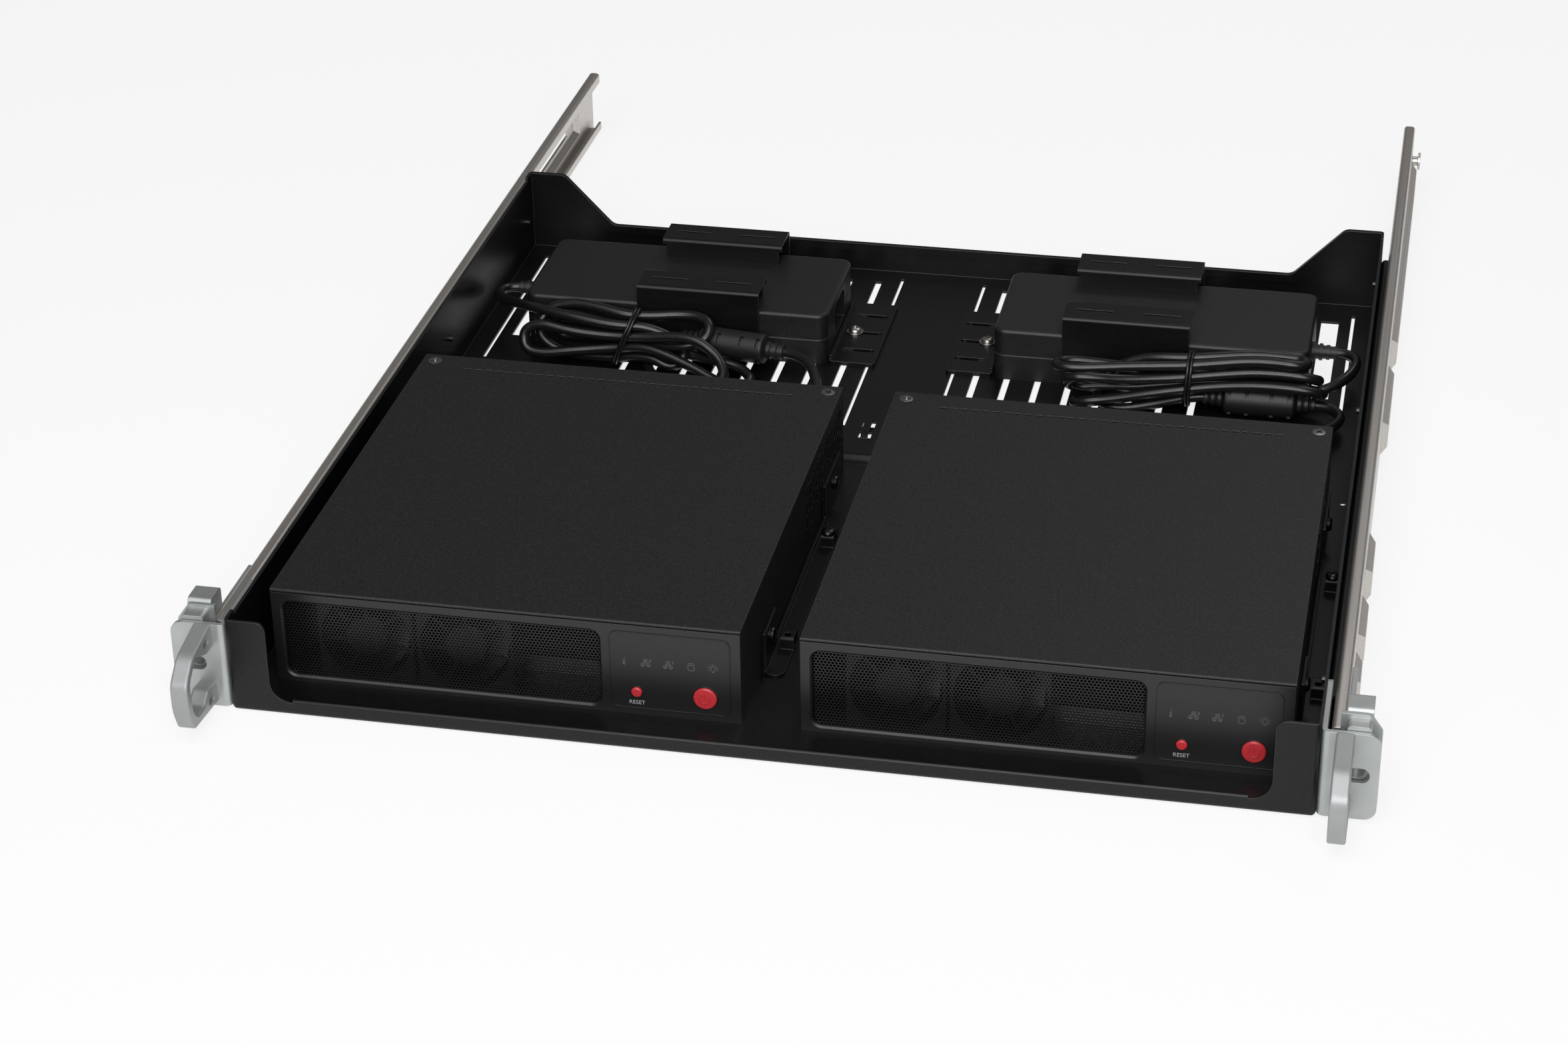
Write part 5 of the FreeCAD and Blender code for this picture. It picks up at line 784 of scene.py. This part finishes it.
class OBJECT_OT_tray_filters(bpy.types.Operator):
    """Mould the noise filters with their marks and ribbed sleeves"""
    bl_idname = "object.tray_filters"
    bl_label = "Noise filters"

    def sink_windows(self, mesh, start, axis):
        """Press the four rings of small windows into a filter's side."""
        shape = bmesh.new()
        shape.from_mesh(mesh)
        marks = []
        for face in shape.faces:
            middle = face.calc_center_median() - start
            along = middle.dot(axis) / MM
            turn = math.degrees(math.atan2(middle.z, middle.dot(Vector((-axis.y, axis.x, 0))))) % 90
            slots = any(low < along < high for low, high in FILTER_WINDOWS)
            if slots and 25 < turn < 65 and len(face.verts) == 4:
                marks.append(face)
        bmesh.ops.inset_region(shape, faces=marks, thickness=0.05 * MM, depth=0.0)
        for vert in {vert for face in marks for vert in face.verts}:
            spoke = vert.co - start
            spoke -= axis * spoke.dot(axis)
            vert.co -= spoke.normalized() * (FILTER_WINDOW_DEPTH * MM)
        shape.to_mesh(mesh)
        shape.free()

    def execute(self, context):
        ribs = []
        for k in range(3):
            ribs += [(along + 3.2 * k, radius + 0.35 * k) for along, radius in FILTER_RIB]
        far = [(FILTER_LENGTH - along, radius) for along, radius in reversed(ribs)]
        for side, place, lean in FILTER_PLACES:
            start = at(*place)
            axis = Vector((math.cos(math.radians(lean)), math.sin(math.radians(lean)), 0))
            mesh = turned("noise_filter_" + side, ribs + FILTER_BODY + far, start, axis, 36)
            self.sink_windows(mesh, start, axis)
            rounded(mesh, 40)
            sleeve = piece("noise_filter_" + side, mesh, "tray", "overmoulded_matt_pvc")
            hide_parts("ferrites")
            made["noise_filter_" + side] = sleeve
        return {"FINISHED"}


class OBJECT_OT_tray_declare_leads(bpy.types.Operator):
    """Step that does nothing"""
    bl_idname = "object.tray_declare_leads"
    bl_label = "Lead facts"

    def execute(self, context):
        return {"FINISHED"}


class OBJECT_OT_tray_grilles(bpy.types.Operator):
    """Perforate the front grilles"""
    bl_idname = "object.tray_grilles"
    bl_label = "Front grilles"

    def execute(self, context):
        sizes = context.scene.tray_sizes
        for side in SIDES:
            low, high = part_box("grille_" + side)
            width = (high.x - low.x) / MM - 2 * sizes.mesh_pitch
            height = (high.z - low.z) / MM - sizes.mesh_pitch
            sheet = honeycomb("grille_mesh_" + side, width, height, sizes.mesh_pitch, sizes.mesh_hole, GRILLE_SHEET)
            screen = piece("grille_mesh_" + side, sheet, "tray", "painted_perforated_steel")
            screen.location = ((low.x + high.x) / 2, low.y + 0.05 * MM, (low.z + high.z) / 2)
            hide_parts("grille_" + side)
        return {"FINISHED"}


class OBJECT_OT_tray_vents(bpy.types.Operator):
    """Cover the slots in the server sides with perforated screens"""
    bl_idname = "object.tray_vents"
    bl_label = "Side vents"

    def execute(self, context):
        pitch = context.scene.tray_sizes.vent_pitch
        for side in SIDES:
            low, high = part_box("chassis_" + side)
            for face, x, degrees in (("inner", high.x + 0.02 * MM, 90), ("outer", low.x - 0.02 * MM, -90)):
                name = "side_vent_" + side + "_" + face
                sheet = honeycomb(name, *VENT_FIELD, pitch, pitch * 0.8, VENT_SHEET)
                turn = Matrix.Rotation(math.radians(degrees), 4, "Z")
                sheet.transform(turn @ Matrix.Translation((0, -VENT_SHEET * MM, 0)))
                # Vent screens carry the darker paint, which stands in as painted shade
                vent = piece(name, sheet, "tray", "vent_steel_painted_shade")
                vent.location = (x, high.y - VENT_MIDDLE[0] * MM, low.z + VENT_MIDDLE[1] * MM)
        return {"FINISHED"}


class OBJECT_OT_tray_floor_forms(bpy.types.Operator):
    """Press the ridge and the tie bridge in the tray's floor"""
    bl_idname = "object.tray_floor_forms"
    bl_label = "Floor forms"

    def swept(self, name, section, low, high):
        """Closed form along x from (y, z) pairs in metres that run round it."""
        count = len(section)
        verts = [(low, y, z) for y, z in section] + [(high, y, z) for y, z in section]
        faces = [(i, i + count, (i + 1) % count + count, (i + 1) % count) for i in range(count)]
        faces += [tuple(range(count)), tuple(reversed(range(count, 2 * count)))]
        mesh = mesh_of(name, verts, faces)
        shape = bmesh.new()
        shape.from_mesh(mesh)
        bmesh.ops.recalc_face_normals(shape, faces=shape.faces)
        shape.to_mesh(mesh)
        shape.free()
        return piece(name, rounded(mesh, 40), "tray", "powder_coated_steel")

    def execute(self, context):
        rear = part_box("chassis_left")[1].y
        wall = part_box("tray")[1].x - RIDGE_END * MM
        floor = FLOOR_SHEET * MM
        middle = rear + RIDGE_LAG * MM
        half = RIDGE_HALF * MM
        ridge = [(middle + half, floor - 0.2 * MM), (middle - half, floor - 0.2 * MM)]
        for k in range(25):
            share = k / 12 - 1
            rise = 0.02 + RIDGE_HEIGHT * math.cos(share * math.pi / 2) ** 3
            ridge.append((middle + half * share, floor + rise * MM))
        self.swept("floor_ridge", ridge, -wall, wall)
        start = rear + BRIDGE_LAG * MM
        top = []
        for k in range(17):
            share = k / 16
            rise = BRIDGE_HEIGHT * min(1.0, 4 * share, 4 * (1 - share)) ** 0.8
            top.append((start + BRIDGE_LENGTH * share * MM, floor + rise * MM))
        under = [(y, max(floor - 0.3 * MM, z - 1.0 * MM)) for y, z in reversed(top)]
        self.swept("tie_bridge", top + under, BRIDGE_X[0] * MM, BRIDGE_X[1] * MM)
        return {"FINISHED"}


class OBJECT_OT_tray_prints(bpy.types.Operator):
    """Print the lamp symbols and emboss the power buttons"""
    bl_idname = "object.tray_prints"
    bl_label = "Symbols"

    def printed(self, name, lines, width, thick, y, body="tray", slot="bezel_black", ink="grey_screen_ink"):
        """Piece of raised lines on a face."""
        mark = piece(name, strokes(name, lines, width, thick), body, ink)
        mark.location.y = y

    def screens(self, digit):
        """Three linked screens and a digit beside the top one."""
        screen = [(-0.65, 0.5), (0.65, 0.5), (0.65, -0.3), (-0.65, -0.3), (-0.65, 0.5)]
        foot = [(-0.5, -0.62), (0.5, -0.62)]
        lines = []
        for u, v in ((0, 1.05), (-1.15, -1.05), (1.15, -1.05)):
            lines += moved([screen, foot], u, v)
        return lines + [[(0, 0.43), (0, 0)], [(-1.15, -0.5), (-1.15, 0), (1.15, 0), (1.15, -0.5)], digit]

    def lamps(self, left, z):
        """Lamp symbols in a row: two groups of screens, a drum and a bulb with rays."""
        one = [(1.75, 1.3), (2.1, 1.6), (2.1, 0.4)]
        two = [(1.6, 1.3), (1.8, 1.6), (2.15, 1.6), (2.3, 1.25), (1.6, 0.45), (2.35, 0.45)]
        drum = [ring(0, 1.2, 1.25, squash=0.4), ring(0, -1.2, 1.25, 90, 270, 12, 0.4),
                [(-1.25, 1.2), (-1.25, -1.2)], [(1.25, 1.2), (1.25, -1.2)]]
        bulb = [ring(0, 0.2, 1.0, 200, 520, 16), [(-0.35, -0.8), (-0.35, -1.6), (0.35, -1.6), (0.35, -0.8)]]
        for k in range(-3, 4):
            u, v = math.sin(math.radians(38 * k)), math.cos(math.radians(38 * k))
            bulb.append([(1.5 * u, 0.2 + 1.5 * v), (2.2 * u, 0.2 + 2.2 * v)])
        lines = []
        for symbol, x in zip((self.screens(two), self.screens(one), drum, bulb), LAMP_PLACES):
            lines += moved(symbol, left + x, z)
        return lines

    def reset_word(self, side, left, face):
        """The word under the small button."""
        word = bpy.data.curves.new("reset_word_" + side, "FONT")
        word.body = "RESET"
        word.size = 2.5 * MM
        word.align_x = "CENTER"
        word.extrude = 0.02 * MM
        word.offset = 0.01 * MM
        text = piece("reset_word_" + side, word, "tray", "white_screen_ink")
        text.rotation_euler.x = math.pi / 2
        text.location = ((left + WORD_PLACE[0]) * MM, face - 0.01 * MM, WORD_PLACE[1] * MM)

    def rims(self, side):
        """Outline of the control plate and a ring round each button."""
        low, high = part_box("control_plate_" + side)
        outline = []
        for k, (u, v, right, up) in enumerate(((low.x, high.z, 1, -1), (high.x, high.z, -1, -1),
                                               (high.x, low.z, -1, 1), (low.x, low.z, 1, 1))):
            outline += ring(u / MM + PLATE_ROUND * right, v / MM + PLATE_ROUND * up, PLATE_ROUND + 0.1,
                            90 * k - 90, 90 * k, 8)
        lines = [outline + outline[:1]]
        for name in ("power_button_", "reset_button_"):
            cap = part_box(name + side)
            reach = (cap[1].x - cap[0].x) / 2 / MM - BUTTON_FLANGE + 0.35
            lines.append(ring(*middle_of(name + side), reach, steps=36))
        return lines

    def execute(self, context):
        letter = [[(0.45, -1.15), (0.1, -1.45), (-0.3, -1.3), (0.1, 0.35), (-0.45, 0.25)],
                  [(0.22, 1.25), (0.3, 1.65)]]
        for side in SIDES:
            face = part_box("control_plate_" + side)[0].y
            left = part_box("cover_" + side)[0].x / MM
            self.printed("lamp_symbols_" + side, self.lamps(left, LAMP_HEIGHT), 0.32, 0.05, face)
            self.printed("info_symbol_" + side, moved(letter, left + INFO_PLACE, LAMP_HEIGHT), 0.55, 0.05, face)
            self.reset_word(side, left, face)
            self.printed("control_rims_" + side, self.rims(side), 0.4, 0.15, face + 0.02 * MM,
                         ink="moulded_abs_bezel")
            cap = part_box("power_button_" + side)[0].y
            sign = moved([ring(0, 0, 2.1, 38, 322, 20), [(0, 0.4), (0, 2.6)]], *middle_of("power_button_" + side))
            self.printed("power_symbol_" + side, sign, 0.5, 0.16, cap + 0.01 * MM,
                         "power_button_" + side, "button_red", "moulded_red_polycarbonate")
        return {"FINISHED"}


class OBJECT_OT_tray_screws(bpy.types.Operator):
    """Drive cross-recessed screws where the plain heads are"""
    bl_idname = "object.tray_screws"
    bl_label = "Cross-recessed screws"

    def head(self, name, profile):
        """Screw along -z with its recess cut."""
        mesh = turned(name, profile, (0, 0, 0), (0, 0, 1), 32)
        blank = placed(name + "_blank", mesh)
        top = profile[-1][0]
        span, slit, deep = RECESS
        shape = bmesh.new()
        for size in ((span, slit, deep), (slit, span, deep)):
            move = Matrix.Translation((0, 0, top * MM)) @ Matrix.Diagonal((*(v * MM for v in size), 1))
            bmesh.ops.create_cube(shape, size=1.0, matrix=move)
        cross = bpy.data.meshes.new(name + "_cross")
        shape.to_mesh(cross)
        shape.free()
        tool = placed(name + "_cross", cross)
        cut = blank.modifiers.new("recess", "BOOLEAN")
        cut.operation = "DIFFERENCE"
        cut.solver = "EXACT"
        cut.use_self = True
        cut.object = tool
        depsgraph = bpy.context.evaluated_depsgraph_get()
        done = bpy.data.meshes.new_from_object(blank.evaluated_get(depsgraph))
        done.materials.clear()
        bpy.data.objects.remove(blank)
        bpy.data.objects.remove(tool)
        if len(done.polygons) <= len(mesh.polygons):
            raise RuntimeError(name + ": the recess wasn't cut")
        return rounded(done, 30)

    def islands(self, node):
        """Box of each separate solid in a CAD node."""
        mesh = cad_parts[node].data
        shape = bmesh.new()
        shape.from_mesh(mesh)
        bmesh.ops.remove_doubles(shape, verts=shape.verts, dist=1e-6)
        left = set(shape.verts)
        boxes = []
        while left:
            heap = [left.pop()]
            group = []
            while heap:
                vert = heap.pop()
                group.append(vert.co.copy())
                for edge in vert.link_edges:
                    other = edge.other_vert(vert)
                    if other in left:
                        left.remove(other)
                        heap.append(other)
            boxes.append((Vector(map(min, *group)), Vector(map(max, *group))))
        shape.free()
        return sorted(boxes, key=lambda box: (round(box[0].y, 4), box[0].x))

    def execute(self, context):
        flat = self.head("flat_screw", FLAT_HEAD)
        pan = self.head("pan_screw", PAN_HEAD)
        disc = rounded(turned("washer", WASHER, (0, 0, 0), (0, 0, 1), 32), 30)
        for node, head, drop in (("cover_screws", flat, 0.12 * MM), ("side_screws", pan, PAN_RISE),
                                 ("floor_screws", pan, PAN_RISE)):
            for i, (low, high) in enumerate(self.islands(node)):
                # The large floor screws are bright and have a washer
                large = high.x - low.x > WASHER_FROM
                finish = "black_nickel_steel" if node == "cover_screws" else "black_oxide_steel"
                slot = "screw_black"
                if large and node == "floor_screws":
                    finish, slot = "nickel_plated_steel", "screw_nickel"
                screw = piece(node + "_" + str(i), head.copy(), "tray", finish)
                middle = (low + high) / 2
                if node == "side_screws":
                    screw.location = (high.x - drop, middle.y, middle.z)
                    turn = Matrix.Rotation(math.pi / 2, 3, "Y") @ Matrix.Rotation(0.6 * i, 3, "Z")
                    screw.rotation_euler = turn.to_euler()
                else:
                    screw.location = (middle.x, middle.y, high.z - drop)
                    screw.rotation_euler.z = 0.7 * i + 0.3
                    if large:
                        washer = piece("washer_" + str(i), disc.copy(), "tray", finish)
                        washer.location = screw.location
                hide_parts(node)
        return {"FINISHED"}


class OBJECT_OT_tray_stage(bpy.types.Operator):
    """Set the floor, the soft lights and the camera"""
    bl_idname = "object.tray_stage"
    bl_label = "Studio"

    def floor(self, white):
        """Pale floor that looks nearly white to the camera and in reflections, and keeps a soft shadow."""
        far = FLOOR_REACH
        corners = [(-far, -far, 0), (far, -far, 0), (far, far, 0), (-far, far, 0)]
        sheet = mesh_of("studio_floor", corners, [(0, 1, 2, 3)])
        floor = placed("studio_floor", sheet)
        floor.location.z = CAD_BOX[0][2] - 0.3 * MM
        tree, shader = new_material("studio_floor_paint", Base_Color=white, Roughness=0.8)[:2]
        path = add_node(tree, "ShaderNodeLightPath")
        seen = add_node(tree, "ShaderNodeMath", operation="MAXIMUM",
                        links={0: path.outputs["Is Camera Ray"], 1: path.outputs["Is Glossy Ray"]})
        share = add_node(tree, "ShaderNodeMath", {0: seen}, operation="MULTIPLY")
        share.inputs[1].default_value = FLOOR_GLOW
        glow = add_node(tree, "ShaderNodeEmission", Color=(1, 1, 1, 1), Strength=1)
        mix = add_node(tree, "ShaderNodeMixShader", {0: share, 1: shader, 2: glow})
        tree.links.new(mix.outputs["Shader"], tree.nodes["Material Output"].inputs["Surface"])
        sheet.materials.append(made["studio_floor_paint"])

    def surround(self, scene, level):
        """Even surround, which the camera sees as white and reflections see a share of."""
        world = bpy.data.worlds.new("studio")
        scene.world = world
        world.use_nodes = True
        tree = world.node_tree
        even = tree.nodes["Background"]
        even.inputs["Color"].default_value = (1, 1, 1, 1)
        even.inputs["Strength"].default_value = level
        white = add_node(tree, "ShaderNodeBackground", Color=(1, 1, 1, 1), Strength=1)
        path = add_node(tree, "ShaderNodeLightPath")
        share = add_node(tree, "ShaderNodeMath", {0: path.outputs["Is Glossy Ray"]}, operation="MULTIPLY")
        share.inputs[1].default_value = REFLECTED_WHITE
        seen = add_node(tree, "ShaderNodeMath", {0: path.outputs["Is Camera Ray"], 1: share}, operation="MAXIMUM")
        mix = add_node(tree, "ShaderNodeMixShader", {0: seen, 1: even, 2: white})
        tree.links.new(mix.outputs["Shader"], tree.nodes["World Output"].inputs["Surface"])

    def lamp(self, name, watts, spot, size):
        """Large soft light that faces the tray."""
        lamp = bpy.data.lights.new(name + "_light", "AREA")
        lamp.shape = "RECTANGLE"
        lamp.size, lamp.size_y = size
        lamp.energy = watts
        thing = placed(name + "_light", lamp)
        thing.location = spot
        thing.rotation_euler = (-Vector(spot)).to_track_quat("-Z", "Y").to_euler()

    def camera(self, scene):
        """Camera at the photograph's place and angle."""
        azimuth, height, roll = (math.radians(value) for value in CAMERA_ANGLES)
        level = math.cos(height)
        back = Vector((math.sin(azimuth) * level, -math.cos(azimuth) * level, math.sin(height)))
        right = Vector((math.cos(azimuth), math.sin(azimuth), 0))
        up = back.cross(right)
        right, up = right * math.cos(roll) + up * math.sin(roll), up * math.cos(roll) - right * math.sin(roll)
        wide, tall = PICTURE
        lens = bpy.data.cameras.new("photo_camera")
        lens.sensor_width = SENSOR
        lens.lens = FOCAL_PIXELS / wide * SENSOR
        lens.shift_x = (wide / 2 - LENS_AXIS[0]) / wide
        lens.shift_y = (LENS_AXIS[1] - tall / 2) / wide
        camera = placed("photo_camera", lens)
        turn = Matrix((right, up, back)).transposed().to_4x4()
        camera.matrix_world = Matrix.Translation(at(*CAMERA_PLACE)) @ turn
        scene.camera = camera

    def execute(self, context):
        scene = context.scene
        stage = scene.tray_stage
        scene.view_settings.view_transform = "Standard"
        self.floor(stage.floor_white)
        self.surround(scene, stage.sky_level)
        self.lamp("key", stage.key_watts, (-0.1, -0.9, 1.9), (1.6, 1.1))
        self.lamp("front", stage.fill_watts, (0.3, -2.0, 1.1), (2.2, 1.2))
        self.lamp("back", stage.back_watts, (0.55, 1.3, 1.7), (1.2, 0.6))
        self.camera(scene)
        return {"FINISHED"}


class VIEW3D_PT_rack_tray(bpy.types.Panel):
    """Lists what the tray is dressed with"""
    bl_idname = "VIEW3D_PT_rack_tray"
    bl_label = "Rack tray"
    bl_space_type = "VIEW_3D"
    bl_region_type = "UI"
    bl_category = "Rack tray"

    def draw(self, context):
        column = self.layout.column()
        for operator in STEPS:
            column.operator(operator.bl_idname)
        for group in (context.scene.tray_colours, context.scene.tray_sizes, context.scene.tray_stage):
            for name in group.__annotations__:
                column.prop(group, name)


STEPS = (OBJECT_OT_tray_finishes, OBJECT_OT_tray_leads, OBJECT_OT_tray_ties, OBJECT_OT_tray_filters,
         OBJECT_OT_tray_declare_leads, OBJECT_OT_tray_grilles, OBJECT_OT_tray_vents, OBJECT_OT_tray_floor_forms,
         OBJECT_OT_tray_prints, OBJECT_OT_tray_screws, OBJECT_OT_tray_stage)
GROUPS = {"tray_colours": TrayColours, "tray_sizes": TraySizes, "tray_stage": TrayStage}


def register():
    """Register the groups, operators and panel."""
    for kind in (*GROUPS.values(), *STEPS, VIEW3D_PT_rack_tray):
        bpy.utils.register_class(kind)
    for name, group in GROUPS.items():
        setattr(bpy.types.Scene, name, PointerProperty(type=group))


def unregister():
    """Take away what register added."""
    for name in GROUPS:
        delattr(bpy.types.Scene, name)
    for kind in (VIEW3D_PT_rack_tray, *reversed(STEPS), *GROUPS.values()):
        bpy.utils.unregister_class(kind)


def main():
    """Build every piece in order."""
    register()
    for step in STEPS:
        group, name = step.bl_idname.split(".")
        getattr(getattr(bpy.ops, group), name)()
    bpy.context.view_layer.update()


if __name__ == "__main__":
    main()
